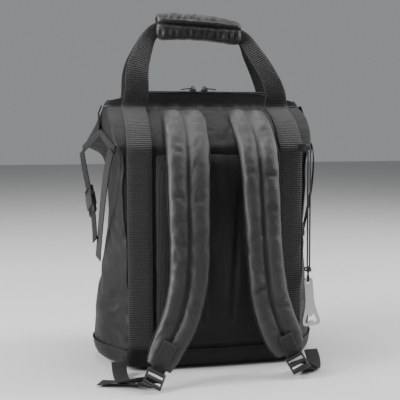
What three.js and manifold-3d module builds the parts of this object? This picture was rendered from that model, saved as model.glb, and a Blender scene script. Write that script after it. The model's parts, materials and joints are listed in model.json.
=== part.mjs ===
// A soft cooler backpack standing on its base. Millimetres, +Z up, origin at the middle of the base.
// The padded back with the shoulder straps faces -Y, the plain front faces +Y.
import * as THREE from 'three';
import Module from 'manifold-3d';
import { mergeVertices } from 'three/addons/utils/BufferGeometryUtils.js';

const wasm = await Module();
wasm.setup();

// Clearances
const gap = 0.3;
const laidGap = 0.5;

// Bag body
const bodyWidth = 296;
const bodyDepth = 190;
const shoulderHeight = 341;
const mouthSeamHeight = 402;
const mouthStrip = 24;
const mouthHeight = mouthSeamHeight + mouthStrip;
const padding = 8;
const floorPadding = 10;
const cornerRadius = 15;
const panelBow = 9;
const gussetRise = 25;
const earFlare = 38;
const earDroop = 5;
const mouthEndDrop = 14;
const pinchDepth = 9;
const pinchReach = 26;

// Base panel, a tray that the padded shell stands in
const basePanelFloor = 2;
const basePanelWall = 1.8;

// Zip along the mouth
const zipTapeThickness = 1.6;
const zipCoilWidth = 3.4;
const zipCoilHeight = 1.6;
const coilSlope = 0.8;
const zipClearance = 0.4;
const zipEndReach = 14;
const sliderLength = 10;
const sliderWidth = 8;
const sliderHeight = 3.2;
const bridgeWidth = 2.2;
const bridgeThickness = 1.2;
const bridgeWindow = 3.4;
const leftSliderX = -17;
const rightSliderX = 2;
const pullLength = 20;
const pullWidth = 4.6;
const pullThickness = 1.6;
const pullBar = 1.6;
const pullEyeLength = 4.6;
const pullEyeWidth = 3;
const pullRestTilt = 7;

// Carrying handles
const handleWebbing = 38;
const webbingThickness = 1.6;
const handleSpread = 117;
const handleStand = 25;
const handleClimb = 127;
const gripHeight = mouthSeamHeight + handleClimb;
const gripArch = 3;
const gripRightDrop = 9;
const gripLeftX = -77;
const gripRightX = 62;
const gripDepth = 27;
const gripTall = 45;
const gripTaper = 0.88;
const gripWall = 3;

// Shoulder straps
const strapWidth = 62;
const strapThickness = 11;
const strapEdge = 3;
const strapStand = 64;
const strapLift = 1.7;
const tabWebbing = 22;
const tabThickness = 1.8;
const lockBar = 3.4;
const lockThickness = 3.6;
const lockLength = 26;
const lockSlot = 5;
const lockReach = 6;
const tailAbove = 7;
const lockStand = 4;
const adjusterThickness = 1.6;

// Back pad
const padHalfWidth = 95;
const padBottom = 40;
const padTop = 330;
const padThickness = 11;
const padEdge = 3;

// Side straps and their buckles
const sideWebbing = 20;
const stemWidth = 15;
const bindingWidth = 13;
const buckleWidth = 27;
const buckleThickness = 8;
const webbingSlot = 3.4;
const plugBarLength = 12;
const plugBarThickness = 6;
const prongThickness = 3.6;
const prongLength = 18;
const prongWidth = 3.4;
const prongSpread = 9;
const catchLength = 7;
const catchSpread = 11.2;
const guideWidth = 4;
const guideLength = 15;
const socketLength = 23;
const socketStart = 12.4;
const socketWall = 2.3;
const socketCavityDepth = 20.5;
const socketCavityHeight = 4.8;
const releaseWindow = 9;
const releaseWindowAt = 13.5;
const ladderThickness = 4.4;
const ladderLength = 12;
const ladderPitch = 4.6;
const ladderSlot = 2.8;
const ladderStart = 3;
const prongRoot = 0.5;

// Bottle opener and its cord
const anchorWidth = 13;
const anchorTall = 12;
const anchorThick = 5;
const anchorOverlap = 3;
const anchorStand = 2;
const anchorBelowShoulder = 2;
const cordDiameter = 2.6;
const cordSides = 8;
const cordSteps = 76;
const cordDrop = 210;
const knotWall = 3.2;
const knotTall = 8.4;
const knotDrop = 190;
const knotClearance = 1.3;
const loopReach = 6.75;
const loopStand = 1.1;
const openerLength = 77;
const openerFoot = 29;
const openerThickness = 2.6;
const openerRim = 3;
const openerEyeWidth = 6.2;
const openerEyeHeight = 7;
const eyeClearance = 1.9;
const openerTilt = 5;

// Materials
const fabric = new THREE.MeshStandardMaterial({ color: 0x17181a, roughness: 0.85 });
const webbingBlack = new THREE.MeshStandardMaterial({ color: 0x101113, roughness: 0.8 });
const plastic = new THREE.MeshStandardMaterial({ color: 0x0c0c0d, roughness: 0.4 });
const blackMetal = new THREE.MeshStandardMaterial({ color: 0x1c1d1f, roughness: 0.35, metalness: 0.9 });
const satinSteel = new THREE.MeshStandardMaterial({ color: 0xe4e5e6, roughness: 0.35, metalness: 1 });
const cordBlack = new THREE.MeshStandardMaterial({ color: 0x131416, roughness: 0.75 });

const backpack = new THREE.Group();
const vec = (x, y, z) => new THREE.Vector3(x, y, z);
const mix = (a, b, t) => a + (b - a) * t;
const radians = THREE.MathUtils.degToRad;

// Rows of numbers as rows with named columns.
function table(columns, ...rows) {
  return rows.map((row) => Object.fromEntries(columns.map((column, i) => [column, row[i]])));
}

// A closed geometry from points and triangles, turned the right way out.
function closed(points, triangles) {
  let volume = 0;
  for (const [a, b, c] of triangles) {
    volume += points[a].dot(points[b].clone().cross(points[c]));
  }
  const index = volume < 0 ? triangles.flatMap(([a, b, c]) => [a, c, b]) : triangles.flat();
  const geometry = new THREE.BufferGeometry();
  const numbers = points.flatMap((p) => [p.x, p.y, p.z]);
  geometry.setAttribute('position', new THREE.Float32BufferAttribute(numbers, 3));
  geometry.setIndex(index);
  return geometry;
}

function add(name, geometry, material) {
  const mesh = new THREE.Mesh(geometry, material);
  mesh.name = name;
  backpack.add(mesh);
  return mesh;
}

// Triangles between two rings that start at points a and b. The diagonal is swapped in the quads from
// `turned` on, so that the two sides of a thin wall are cut into the same triangles.
function wallBetween(a, b, count, turned = count) {
  const triangles = [];
  for (let j = 0; j < count; j += 1) {
    const k = (j + 1) % count;
    if (j >= turned) triangles.push([a + j, a + k, b + j], [a + k, b + k, b + j]);
    else triangles.push([a + j, a + k, b + k], [a + j, b + k, b + j]);
  }
  return triangles;
}

const undersideBow = 0.1;

// A solid through rings of equal length, each ring a closed section, with flat ends cut by `section`.
function loft(rings, section) {
  const count = rings[0].length;
  const upper = section.findIndex(({ y }) => y > undersideBow);
  const triangles = rings.slice(1).flatMap(
    (ring, i) => wallBetween(i * count, (i + 1) * count, count, upper),
  );
  const last = (rings.length - 1) * count;
  for (const [a, b, c] of THREE.ShapeUtils.triangulateShape(section, [])) {
    triangles.push([a, c, b], [last + a, last + b, last + c]);
  }
  return closed(rings.flat(), triangles);
}

// A tube wall: outer and inner rings of equal length, joined at both ends.
function sleeve(outer, inner) {
  const count = outer[0].length;
  const loops = [...outer, ...inner.slice().reverse()];
  const triangles = loops.flatMap(
    (ring, i) => wallBetween(i * count, ((i + 1) % loops.length) * count, count),
  );
  return closed(loops.flat(), triangles);
}

// A cup: outer rings from the floor up, inner rings from the floor up, joined at the rim.
function cup(outer, inner) {
  const count = outer[0].length;
  const loops = [...outer, ...inner.slice().reverse()];
  const points = loops.flat();
  const triangles = loops.slice(1).flatMap(
    (ring, i) => wallBetween(i * count, (i + 1) * count, count, i >= outer.length ? 0 : count),
  );
  const ends = [[0, outer[0], true], [(loops.length - 1) * count, inner[0], false]];
  for (const [start, ring, under] of ends) {
    const middle = points.length;
    points.push(vec(0, 0, ring[0].z));
    for (let j = 0; j < count; j += 1) {
      const k = (j + 1) % count;
      triangles.push(under ? [middle, start + k, start + j] : [middle, start + j, start + k]);
    }
  }
  return closed(points, triangles);
}

const flatSection = [[-0.5, 0], [0.5, 0], [0.5, 1], [-0.5, 1]].map(([u, v]) => new THREE.Vector2(u, v));

// A band through stations. `at` is the middle of its underside, `out` points away from what it lies on.
function band(stations, section = flatSection) {
  const rings = stations.map((s) => section.map(({ x, y }) => s.at.clone()
    .addScaledVector(s.across, x * s.wide)
    .addScaledVector(s.out, y * s.thick)));
  return loft(rings, section);
}

// Frames along a line of points: `out` stays as near to `facing` as the line lets it.
function along(points, facing, wide, thick) {
  return points.map((at, i) => {
    const before = points[Math.max(i - 1, 0)];
    const after = points[Math.min(i + 1, points.length - 1)];
    const tangent = after.clone().sub(before).normalize();
    const wanted = Array.isArray(facing) ? facing[i] : facing;
    const out = wanted.clone().addScaledVector(tangent, -wanted.dot(tangent)).normalize();
    return {
      at,
      out,
      across: tangent.clone().cross(out),
      wide: Array.isArray(wide) ? wide[i] : wide,
      thick: Array.isArray(thick) ? thick[i] : thick,
    };
  });
}

const square = (way, to) => way.clone().addScaledVector(to, -way.dot(to)).normalize();

// The station a share of the way from one station to another of the same width and thickness.
function between(from, to, share) {
  const across = from.across.clone().lerp(to.across, share).normalize();
  const out = square(from.out.clone().lerp(to.out, share), across);
  return { ...from, at: from.at.clone().lerp(to.at, share), across, out };
}

function toManifold(geometry) {
  const plain = new THREE.BufferGeometry();
  plain.setAttribute('position', geometry.getAttribute('position').clone());
  if (geometry.index) plain.setIndex(geometry.index.clone());
  const merged = mergeVertices(plain, 1e-4);
  return new wasm.Manifold(new wasm.Mesh({
    numProp: 3,
    vertProperties: new Float32Array(merged.getAttribute('position').array),
    triVerts: new Uint32Array(merged.index.array),
  }));
}

function fromManifold(manifold) {
  const mesh = manifold.getMesh();
  const geometry = new THREE.BufferGeometry();
  geometry.setAttribute('position', new THREE.BufferAttribute(mesh.vertProperties, 3));
  geometry.setIndex(new THREE.BufferAttribute(mesh.triVerts, 1));
  return geometry;
}

function fuse(...geometries) {
  return fromManifold(geometries.map(toManifold).reduce((a, b) => a.add(b)));
}

function cut(geometry, ...tools) {
  return fromManifold(tools.map(toManifold).reduce((a, b) => a.subtract(b), toManifold(geometry)));
}

// Body sections
// span: 0 walls, 1 sloping top, 2 flat mouth strip; at: share of that span's height;
// depth and width: shares of the half sizes at the corners; side: half width at the middle of the side,
// as a share of the half width; lift: share of gussetRise by which the side's middle stands higher;
// curl: 0 straight side, 1 round side; bow: share of panelBow; round: share of cornerRadius;
// flare: share of earFlare at the front corners; hollow: half width of the cavity at the side's middle,
// as a share of the half width, null where the cavity skips the section; wall: share of padding.
const sections = table(
  ['span', 'at', 'depth', 'width', 'side', 'lift', 'curl', 'bow', 'round', 'flare', 'drop', 'hollow', 'wall'],
  [0, 0.00, 0.94, 0.94, 1.13, 0, 1.0, 0.4, 1.0, 0, 0, null, 1],
  [0, 0.03, 1.00, 0.98, 1.21, 0, 1.0, 0.6, 1.0, 0, 0, 1.155, 1],
  [0, 0.09, 1.01, 0.98, 1.23, 0, 1.0, 0.8, 1.0, 0, 0, 1.175, 1],
  [0, 0.19, 1.01, 0.98, 1.21, 0, 1.0, 1.0, 1.0, 0, 0, 1.155, 1],
  [0, 0.28, 1.00, 0.98, 1.19, 0, 1.0, 1.0, 1.0, 0, 0, 1.135, 1],
  [0, 0.40, 1.00, 0.99, 1.14, 0, 0.9, 1.0, 1.0, 0, 0, 1.085, 1],
  [0, 0.55, 0.99, 1.00, 1.08, 0, 0.8, 1.0, 0.9, 0, 0, 1.025, 1],
  [0, 0.69, 0.98, 1.00, 1.02, 0, 0.6, 1.0, 0.8, 0, 0, 0.965, 1],
  [0, 0.81, 0.98, 1.00, 0.97, 0.05, 0.4, 1.0, 0.65, 0.03, 0, 0.915, 1],
  [0, 0.91, 0.98, 1.00, 0.91, 0.25, 0.2, 0.9, 0.5, 0.10, 0, 0.855, 1],
  [0, 0.97, 0.99, 1.00, 0.87, 0.75, 0, 0.8, 0.4, 0.30, 0, 0.80, 1],
  [1, 0.00, 1.00, 1.01, 1.12, 1.00, 0, 0.7, 0.3, 1.00, 0, null, 1],
  [1, 0.22, 0.90, 1.03, 1.12, 0.84, 0, 0.7, 0.3, 0.75, 0, 0.84, 1],
  [1, 0.45, 0.78, 1.05, 1.12, 0.62, 0.2, 0.7, 0.3, 0.45, 0, 0.88, 1],
  [1, 0.68, 0.60, 1.07, 1.12, 0.40, 0.4, 0.6, 0.3, 0.20, 0, 0.92, 1.1],
  [1, 0.88, 0.36, 1.08, 1.10, 0.20, 0.6, 0.4, 0.3, 0.05, 0, 0.96, 1.1],
  [1, 1.00, 0.15, 1.07, 1.09, 0.08, 0.8, 0, 0.3, 0, 0, 1.00, 0.6],
  [2, 0.50, 0.11, 1.06, 1.08, 0, 0.8, 0, 0.3, 0, 0.4, 1.02, 0.4],
  [2, 1.00, 0.08, 1.03, 1.05, 0, 0.8, 0, 0.3, 0, 1, 1.03, 0.375],
);

// Places where the soft wall is pinched in. height: share of shoulderHeight; across and along: shares of
// the half width and half depth; depth and reach: shares of pinchDepth and pinchReach.
const pinches = [
  { height: 0.94, across: -1, along: -1, depth: 0.7, reach: 0.9 },
  { height: 0.585, across: -1, along: -1, depth: 0.8, reach: 1.0 },
  { height: 0.285, across: -1, along: -1, depth: 1.0, reach: 1.1 },
  { height: 0.94, across: 1, along: -1, depth: 0.5, reach: 0.9 },
  { height: 0.635, across: 1, along: -1, depth: 0.8, reach: 1.0 },
  { height: 0.25, across: 1, along: -1, depth: 0.8, reach: 1.1 },
  { height: 0.55, across: -1, along: 1, depth: 0.9, reach: 1.1 },
  { height: 0.30, across: 1, along: 1, depth: 1.0, reach: 1.1 },
];

const halfWidth = bodyWidth / 2;
const halfDepth = bodyDepth / 2;
const wallFoot = basePanelFloor + gap;
const spans = [
  [wallFoot, shoulderHeight],
  [shoulderHeight, mouthSeamHeight],
  [mouthSeamHeight, mouthHeight],
];
const sectionHeight = ({ span, at }) => mix(spans[span][0], spans[span][1], at);

// One quarter of a section, from the middle of the panel round the corner to the middle of the side.
const quarter = [
  ...[0, 0.25, 0.5, 0.75].map((share) => ({ part: 'panel', share })),
  ...[0, 30, 60, 90].map((angle) => ({ part: 'corner', angle: radians(angle) })),
  ...[1 / 3, 2 / 3, 1].map((share) => ({ part: 'side', share })),
];
const lastStation = quarter.length - 1;
const backFlareShare = 0.12;
const cavityFlareShare = 0.6;
const cavityRadius = 4;

function pinched(point) {
  for (const pinch of pinches) {
    const centre = vec(pinch.across * halfWidth, pinch.along * halfDepth, pinch.height * shoulderHeight);
    const reach = pinch.reach * pinchReach;
    const pull = pinch.depth * pinchDepth * Math.exp(-point.distanceToSquared(centre) / (reach * reach));
    point.x -= pinch.across * pull;
  }
  return point;
}

// One point of a section, before any pinch.
function plainOutline(row, station, signX, signY, grow = 0, cavity = false) {
  const b = row.depth * halfDepth + grow;
  const c = row.width * halfWidth + grow;
  const s = cavity ? row.hollow * halfWidth : row.side * halfWidth + grow;
  const r = Math.max(Math.min(row.round * cornerRadius + grow, b * 0.9), Math.min(cavityRadius, b * 0.9));
  const bowAt = (x) => row.bow * panelBow * (1 - (x / c) ** 2);
  let x;
  let y;
  let rise = 0;
  let reach = 1;
  let drop = 1;
  if (station.part === 'panel') {
    x = station.share * (c - r);
    y = b + bowAt(x);
    reach = (x / c) ** 4;
    drop = station.share > 0.7 ? 0.3 : 0;
  } else if (station.part === 'corner') {
    x = c - r + r * Math.sin(station.angle);
    y = b - r + r * Math.cos(station.angle) + bowAt(x) * Math.cos(station.angle);
  } else {
    const t = station.share;
    x = c + (s - c) * mix(t, 1 - (1 - t) ** 2, row.curl);
    y = (b - r) * (1 - t);
    rise = t;
    reach = 1 - t;
  }
  const flare = row.flare * reach * (signY > 0 ? 1 : backFlareShare) * (cavity ? cavityFlareShare : 1);
  const sunk = flare * earDroop + row.drop * drop * mouthEndDrop;
  const z = sectionHeight(row) + row.lift * gussetRise * rise - sunk;
  return vec(signX * (x + flare * earFlare), signY * y, z);
}
const outline = (...place) => pinched(plainOutline(...place));

// A whole section, counter-clockwise from above, starting at the middle of the back panel.
function ring(row, grow, cavity = false) {
  const points = [];
  for (let i = 0; i < lastStation; i += 1) points.push(outline(row, quarter[i], 1, -1, grow, cavity));
  for (let i = lastStation; i > 0; i -= 1) points.push(outline(row, quarter[i], 1, 1, grow, cavity));
  for (let i = 0; i < lastStation; i += 1) points.push(outline(row, quarter[i], -1, 1, grow, cavity));
  for (let i = lastStation; i > 0; i -= 1) points.push(outline(row, quarter[i], -1, -1, grow, cavity));
  return points;
}

const raised = (points, z) => points.map((p) => vec(p.x, p.y, z));

// Padded shell
const cavityRows = sections.filter((row) => row.hollow !== null);
const cavityRings = cavityRows.map((row) => ring(row, -row.wall * padding, true));
const cavityFloor = wallFoot + floorPadding;
cavityRings[0] = raised(cavityRings[0], cavityFloor);
add('bag_shell', cup(sections.map((row) => ring(row, 0)), cavityRings), fabric);

// Base panel
const basePanelRows = sections.slice(0, 3);
const basePanelTop = sectionHeight(basePanelRows[2]);
const trayOuter = basePanelRows.map((row) => ring(row, gap + basePanelWall));
trayOuter[0] = raised(trayOuter[0], 0);
const trayInner = basePanelRows.map((row) => ring(row, gap));
trayInner[0] = raised(trayInner[0], basePanelFloor);
add('base_panel', cup(trayOuter, trayInner), fabric);

const faceStations = quarter.filter((s) => s.part !== 'side');

// The back or front face of the shell at x and z, from the sections it is lofted through.
function face(x, z, signY) {
  const rows = sections.map((row) => ({ row, z: sectionHeight(row) }));
  let i = 0;
  while (i < rows.length - 2 && rows[i + 1].z < z) i += 1;
  const yAt = (row) => {
    const line = faceStations.map((s) => plainOutline(row, s, Math.sign(x) || 1, signY));
    let j = 0;
    while (j < line.length - 2 && Math.abs(line[j + 1].x) < Math.abs(x)) j += 1;
    const t = (Math.abs(x) - Math.abs(line[j].x)) / (Math.abs(line[j + 1].x) - Math.abs(line[j].x));
    return mix(line[j].y, line[j + 1].y, t);
  };
  const t = (z - rows[i].z) / (rows[i + 1].z - rows[i].z);
  return mix(yAt(rows[i].row), yAt(rows[i + 1].row), t);
}

// A point that stands off the face by `lift`, and the way it faces. `reach` is half the width of what lies
// there, which bridges the curve of the face.
const probe = 5;
function laid(x, z, lift, signY = -1, reach = probe) {
  const slopeX = (face(x + reach, z, signY) - face(x - reach, z, signY)) / (2 * reach);
  const slopeZ = (face(x, z + probe, signY) - face(x, z - probe, signY)) / (2 * probe);
  const out = vec(-signY * slopeX, signY, -signY * slopeZ).normalize();
  return { point: vec(x, face(x, z, signY), z).addScaledVector(out, lift), out };
}
const skin = (x, z, lift, signY = -1) => laid(x, z, lift, signY).point;

const shortestStep = 2;
const faceHeights = (from, to) => {
  const inside = sections.map(sectionHeight)
    .filter((z) => z > from + shortestStep && z < to - shortestStep);
  return [from, ...inside, to];
};

// Back pad
const padColumns = [-1, -0.86, -0.6, -0.3, 0, 0.3, 0.6, 0.86, 1];
const padRim = 12;
{
  const padRows = faceHeights(padBottom, padTop);
  padRows.splice(1, 0, padBottom + padRim);
  padRows.splice(padRows.length - 1, 0, padTop - padRim);
  const crown = (u, v) => {
    const side = 1 - Math.abs(u) ** 5;
    const end = 1 - Math.abs(2 * v - 1) ** 8;
    const channel = 0.28 * Math.exp(-((u / 0.16) ** 2)) * Math.sin(Math.PI * v);
    return mix(padEdge, padThickness, Math.sqrt(Math.max(side * end, 0)) * (1 - channel));
  };
  const points = [];
  const count = padColumns.length;
  for (const z of padRows) {
    for (const u of padColumns) points.push(skin(u * padHalfWidth, z, laidGap));
  }
  const half = points.length;
  for (const z of padRows) {
    const v = (z - padBottom) / (padTop - padBottom);
    for (const u of padColumns) {
      const narrow = 1 - 0.03 * Math.abs(u) ** 6;
      points.push(skin(u * padHalfWidth * narrow, z, laidGap + crown(u, v)));
    }
  }
  const triangles = [];
  for (let i = 0; i + 1 < padRows.length; i += 1) {
    for (let j = 0; j + 1 < count; j += 1) {
      const a = i * count + j;
      const b = a + count;
      triangles.push([a, b, a + 1], [a + 1, b, b + 1]);
      triangles.push([half + a, half + a + 1, half + b], [half + a + 1, half + b + 1, half + b]);
    }
  }
  const edge = [];
  for (let j = 0; j < count; j += 1) edge.push(j);
  for (let i = 1; i < padRows.length; i += 1) edge.push(i * count + count - 1);
  for (let j = count - 2; j >= 0; j -= 1) edge.push((padRows.length - 1) * count + j);
  for (let i = padRows.length - 2; i > 0; i -= 1) edge.push(i * count);
  edge.forEach((a, i) => {
    const b = edge[(i + 1) % edge.length];
    triangles.push([a, b, half + b], [a, half + b, half + a]);
  });
  add('back_pad', closed(points, triangles), fabric);
}

// Zip in the mouth: a tape with a raised coil, laid in the slot of the mouth strip
const mouthRow = sections[sections.length - 1];
const slotHalf = mouthRow.depth * halfDepth - mouthRow.wall * padding;
const tapeHalf = slotHalf - zipClearance;
const zipEnd = 0.75 * (mouthRow.width * halfWidth - cavityRadius) + zipEndReach;
const zipSection = [
  [-tapeHalf, 0], [tapeHalf, 0], [tapeHalf, zipTapeThickness], [zipCoilWidth / 2, zipTapeThickness],
  [zipCoilWidth / 2 - coilSlope, zipTapeThickness + zipCoilHeight],
  [coilSlope - zipCoilWidth / 2, zipTapeThickness + zipCoilHeight],
  [-zipCoilWidth / 2, zipTapeThickness], [-tapeHalf, zipTapeThickness],
].map(([u, v]) => new THREE.Vector2(u, v));
const coilTop = mouthHeight + zipCoilHeight;
{
  const flat = 0.7 * halfWidth;
  const stations = [-zipEnd, -flat, flat, zipEnd].map((x) => {
    const sink = Math.abs(x) > flat ? 0.5 * mouthEndDrop : 0;
    const at = vec(x, 0, mouthHeight - zipTapeThickness - sink);
    return { at, across: vec(0, 1, 0), out: vec(0, 0, 1), wide: 1, thick: 1 };
  });
  add('mouth_zip', band(stations, zipSection), webbingBlack);
}

// Zip sliders, each with a bridge that holds the crossbar of its pull
const sliderTop = coilTop + gap + sliderHeight;
const pullAxisZ = sliderTop + bridgeWindow / 2;
for (const [side, hand, x] of [['left', -1, leftSliderX], ['right', 1, rightSliderX]]) {
  const body = new THREE.BoxGeometry(sliderLength, sliderWidth, sliderHeight)
    .translate(x, 0, coilTop + gap + sliderHeight / 2);
  const archLength = bridgeWindow + 2 * bridgeThickness;
  const archHeight = bridgeWindow + bridgeThickness;
  const arch = new THREE.BoxGeometry(archLength, bridgeWidth, archHeight)
    .translate(x, 0, sliderTop + archHeight / 2);
  const window = new THREE.BoxGeometry(bridgeWindow, sliderWidth, bridgeWindow).translate(x, 0, pullAxisZ);
  add(`zip_slider_${side}`, fuse(body, cut(arch, window)), blackMetal);

  // The pull lies outward from its crossbar and drops a little to its tip.
  const tip = pullLength - pullWidth / 2;
  const plate = new THREE.Shape();
  plate.moveTo(-pullBar / 2, -pullWidth / 2);
  plate.lineTo(tip, -pullWidth / 2);
  plate.absarc(tip, 0, pullWidth / 2, -Math.PI / 2, Math.PI / 2, false);
  plate.lineTo(-pullBar / 2, pullWidth / 2);
  const eye = new THREE.Path();
  const eyeEnd = pullBar / 2 + pullEyeLength;
  eye.moveTo(pullBar / 2, -pullEyeWidth / 2);
  eye.lineTo(pullBar / 2, pullEyeWidth / 2);
  eye.lineTo(eyeEnd, pullEyeWidth / 2);
  eye.lineTo(eyeEnd, -pullEyeWidth / 2);
  const hole = new THREE.Path();
  hole.absarc(tip, 0, pullWidth / 4, 0, Math.PI * 2, true);
  plate.holes.push(eye, hole);
  const extrusion = { depth: pullThickness, bevelEnabled: false, curveSegments: 5 };
  const geometry = new THREE.ExtrudeGeometry(plate, extrusion)
    .translate(0, 0, -pullThickness / 2)
    .rotateY(radians(pullRestTilt));
  if (hand < 0) geometry.rotateZ(Math.PI);
  add(`zip_pull_${side}`, geometry.translate(x, 0, pullAxisZ), blackMetal);
}

// Carrying handles
// Free stretch of one webbing, from the mouth seam up into the grip. x in millimetres from the middle as a
// share of handleSpread, rise: share of the way from the mouth seam to the grip, stand: share of
// handleStand, wide: share of handleWebbing.
const leftHandle = [
  { x: 0.975, rise: 0.05, stand: 0.80, wide: 1.00 },
  { x: 0.945, rise: 0.19, stand: 1.00, wide: 1.00 },
  { x: 0.955, rise: 0.39, stand: 1.04, wide: 0.96 },
  { x: 0.915, rise: 0.56, stand: 0.80, wide: 0.88 },
  { x: 0.830, rise: 0.73, stand: 0.48, wide: 0.72 },
  { x: 0.740, rise: 0.92, stand: 0.08, wide: 0.58 },
];
const rightHandle = [
  { x: 0.99, rise: 0.05, stand: 0.80, wide: 1.00 },
  { x: 0.985, rise: 0.18, stand: 1.00, wide: 0.90 },
  { x: 0.895, rise: 0.38, stand: 1.00, wide: 0.76 },
  { x: 0.775, rise: 0.58, stand: 0.75, wide: 0.70 },
  { x: 0.675, rise: 0.72, stand: 0.45, wide: 0.66 },
  { x: 0.600, rise: 0.87, stand: 0.08, wide: 0.58 },
];
const gripZ = (x) => {
  const t = (x - gripLeftX) / (gripRightX - gripLeftX);
  return gripHeight + gripArch * Math.sin(Math.PI * t) - gripRightDrop * t * t;
};
const webbingInGrip = 0.4;
const seamAllowance = 2;
const slotClearance = 2;
const heldShare = 0.62;
const heldDrop = 1;
const gripShares = [0.06, 0.3, 0.5, 0.7, 0.94];
for (const [name, signY] of [['back', -1], ['front', 1]]) {
  const straight = vec(0, signY, 0);
  const panelHeights = faceHeights(basePanelTop + seamAllowance, mouthSeamHeight - seamAllowance);
  const upFace = (hand) => panelHeights.map((z) => {
    const { point, out } = laid(hand * handleSpread, z, laidGap + gap, signY, handleWebbing / 2);
    return { point, out, wide: 1 };
  });
  const free = (table, hand) => table.map((row) => ({
    point: vec(
      hand * row.x * handleSpread,
      signY * (row.stand * handleStand + webbingInGrip),
      mouthSeamHeight + row.rise * handleClimb,
    ),
    out: straight,
    wide: row.wide,
  }));
  const held = gripShares.map((share) => {
    const x = mix(gripLeftX, gripRightX, share);
    return { point: vec(x, signY * webbingInGrip, gripZ(x) - heldDrop), out: straight, wide: heldShare };
  });
  const leftHalf = [...upFace(-1), ...free(leftHandle, -1)];
  const rightHalf = [...upFace(1), ...free(rightHandle, 1)];
  const route = [...leftHalf, ...held, ...rightHalf.reverse()];
  const stations = along(
    route.map((s) => s.point),
    route.map((s) => s.out),
    route.map((s) => s.wide * handleWebbing),
    webbingThickness,
  );
  add(`handle_webbing_${name}`, band(stations), webbingBlack);
}

// Padded grip round both webbings
{
  const shares = [0, 0.04, 0.14, 0.32, 0.5, 0.68, 0.86, 0.96, 1];
  const swell = [0.8, 0.93, 1, 0.98, 0.97, 0.98, 1, 0.93, 0.8];
  const sides = 16;
  const tallAt = (x) => gripTall * mix(1, gripTaper, (x - gripLeftX) / (gripRightX - gripLeftX));
  const slotDeep = 2 * (webbingInGrip + webbingThickness) + slotClearance;
  const mouthDeep = 0.5 * gripDepth;
  const section = (x, deep, tall, power) => Array.from({ length: sides }, (unused, i) => {
    const angle = (2 * Math.PI * (i + 0.5)) / sides;
    const squash = (value) => Math.sign(value) * Math.abs(value) ** power;
    return vec(x, squash(Math.cos(angle)) * deep / 2, gripZ(x) + squash(Math.sin(angle)) * tall / 2);
  });
  const places = shares.map((share) => mix(gripLeftX, gripRightX, share));
  const outer = places.map(
    (x, i) => section(x, gripDepth * swell[i], tallAt(x) * mix(1, swell[i], 0.4), 0.75),
  );
  const inner = places.map((x, i) => {
    const open = (1 - swell[i]) / (1 - swell[0]);
    return section(x, mix(slotDeep, mouthDeep, Math.max(open, 0)), tallAt(x) - 2 * gripWall, 0.3);
  });
  add('grip_wrap', sleeve(outer, inner), fabric);
}

// Shoulder straps
// Stations from the mouth seam down. x: millimetres as a share of halfWidth; z: share of shoulderHeight, and
// past 1 the share of the sloping top from the shoulder to the mouth seam; off: distance of the underside
// from the plane of the back, as a share of strapStand, null where the strap lies on the sloping top; wide
// and thick: shares of strapWidth and strapThickness.
const leftStrap = [
  { x: -0.300, z: 1.922, off: null, wide: 0.80, thick: 0.35 },
  { x: -0.300, z: 1.811, off: null, wide: 0.95, thick: 0.75 },
  { x: -0.295, z: 1.671, off: null, wide: 1.06, thick: 1.00 },
  { x: -0.300, z: 1.447, off: null, wide: 1.06, thick: 1.00 },
  { x: -0.305, z: 1.224, off: null, wide: 1.05, thick: 1.00 },
  { x: -0.315, z: 0.965, off: -0.02, wide: 1.03, thick: 1.00 },
  { x: -0.325, z: 0.88, off: 0.09, wide: 1.02, thick: 1.00 },
  { x: -0.335, z: 0.76, off: 0.24, wide: 1.00, thick: 0.95 },
  { x: -0.335, z: 0.62, off: 0.36, wide: 0.95, thick: 1.00 },
  { x: -0.340, z: 0.53, off: 0.42, wide: 0.93, thick: 0.95 },
  { x: -0.350, z: 0.44, off: 0.48, wide: 0.92, thick: 1.00 },
  { x: -0.380, z: 0.37, off: 0.53, wide: 0.90, thick: 1.00 },
  { x: -0.425, z: 0.30, off: 0.59, wide: 0.88, thick: 1.00 },
  { x: -0.490, z: 0.235, off: 0.65, wide: 0.86, thick: 0.95 },
  { x: -0.565, z: 0.180, off: 0.71, wide: 0.82, thick: 0.90 },
  { x: -0.635, z: 0.128, off: 0.80, wide: 0.74, thick: 0.80 },
  { x: -0.690, z: 0.088, off: 0.90, wide: 0.58, thick: 0.55 },
];
const rightStrap = [
  { x: 0.400, z: 1.922, off: null, wide: 0.80, thick: 0.35 },
  { x: 0.400, z: 1.811, off: null, wide: 0.92, thick: 0.75 },
  { x: 0.395, z: 1.671, off: null, wide: 1.00, thick: 1.00 },
  { x: 0.400, z: 1.447, off: null, wide: 1.00, thick: 1.00 },
  { x: 0.410, z: 1.224, off: null, wide: 0.98, thick: 1.00 },
  { x: 0.420, z: 0.965, off: -0.02, wide: 0.96, thick: 1.00 },
  { x: 0.420, z: 0.88, off: 0.08, wide: 0.92, thick: 1.00 },
  { x: 0.420, z: 0.76, off: 0.22, wide: 0.90, thick: 0.95 },
  { x: 0.425, z: 0.62, off: 0.34, wide: 0.88, thick: 1.00 },
  { x: 0.435, z: 0.53, off: 0.39, wide: 0.88, thick: 0.95 },
  { x: 0.450, z: 0.44, off: 0.43, wide: 0.90, thick: 1.00 },
  { x: 0.470, z: 0.37, off: 0.47, wide: 0.92, thick: 1.00 },
  { x: 0.500, z: 0.30, off: 0.50, wide: 0.94, thick: 1.00 },
  { x: 0.546, z: 0.235, off: 0.54, wide: 0.97, thick: 0.95 },
  { x: 0.602, z: 0.180, off: 0.57, wide: 0.95, thick: 0.90 },
  { x: 0.648, z: 0.135, off: 0.61, wide: 0.88, thick: 0.80 },
  { x: 0.678, z: 0.105, off: 0.66, wide: 0.68, thick: 0.55 },
];
const edgeShare = strapEdge / strapThickness;
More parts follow.
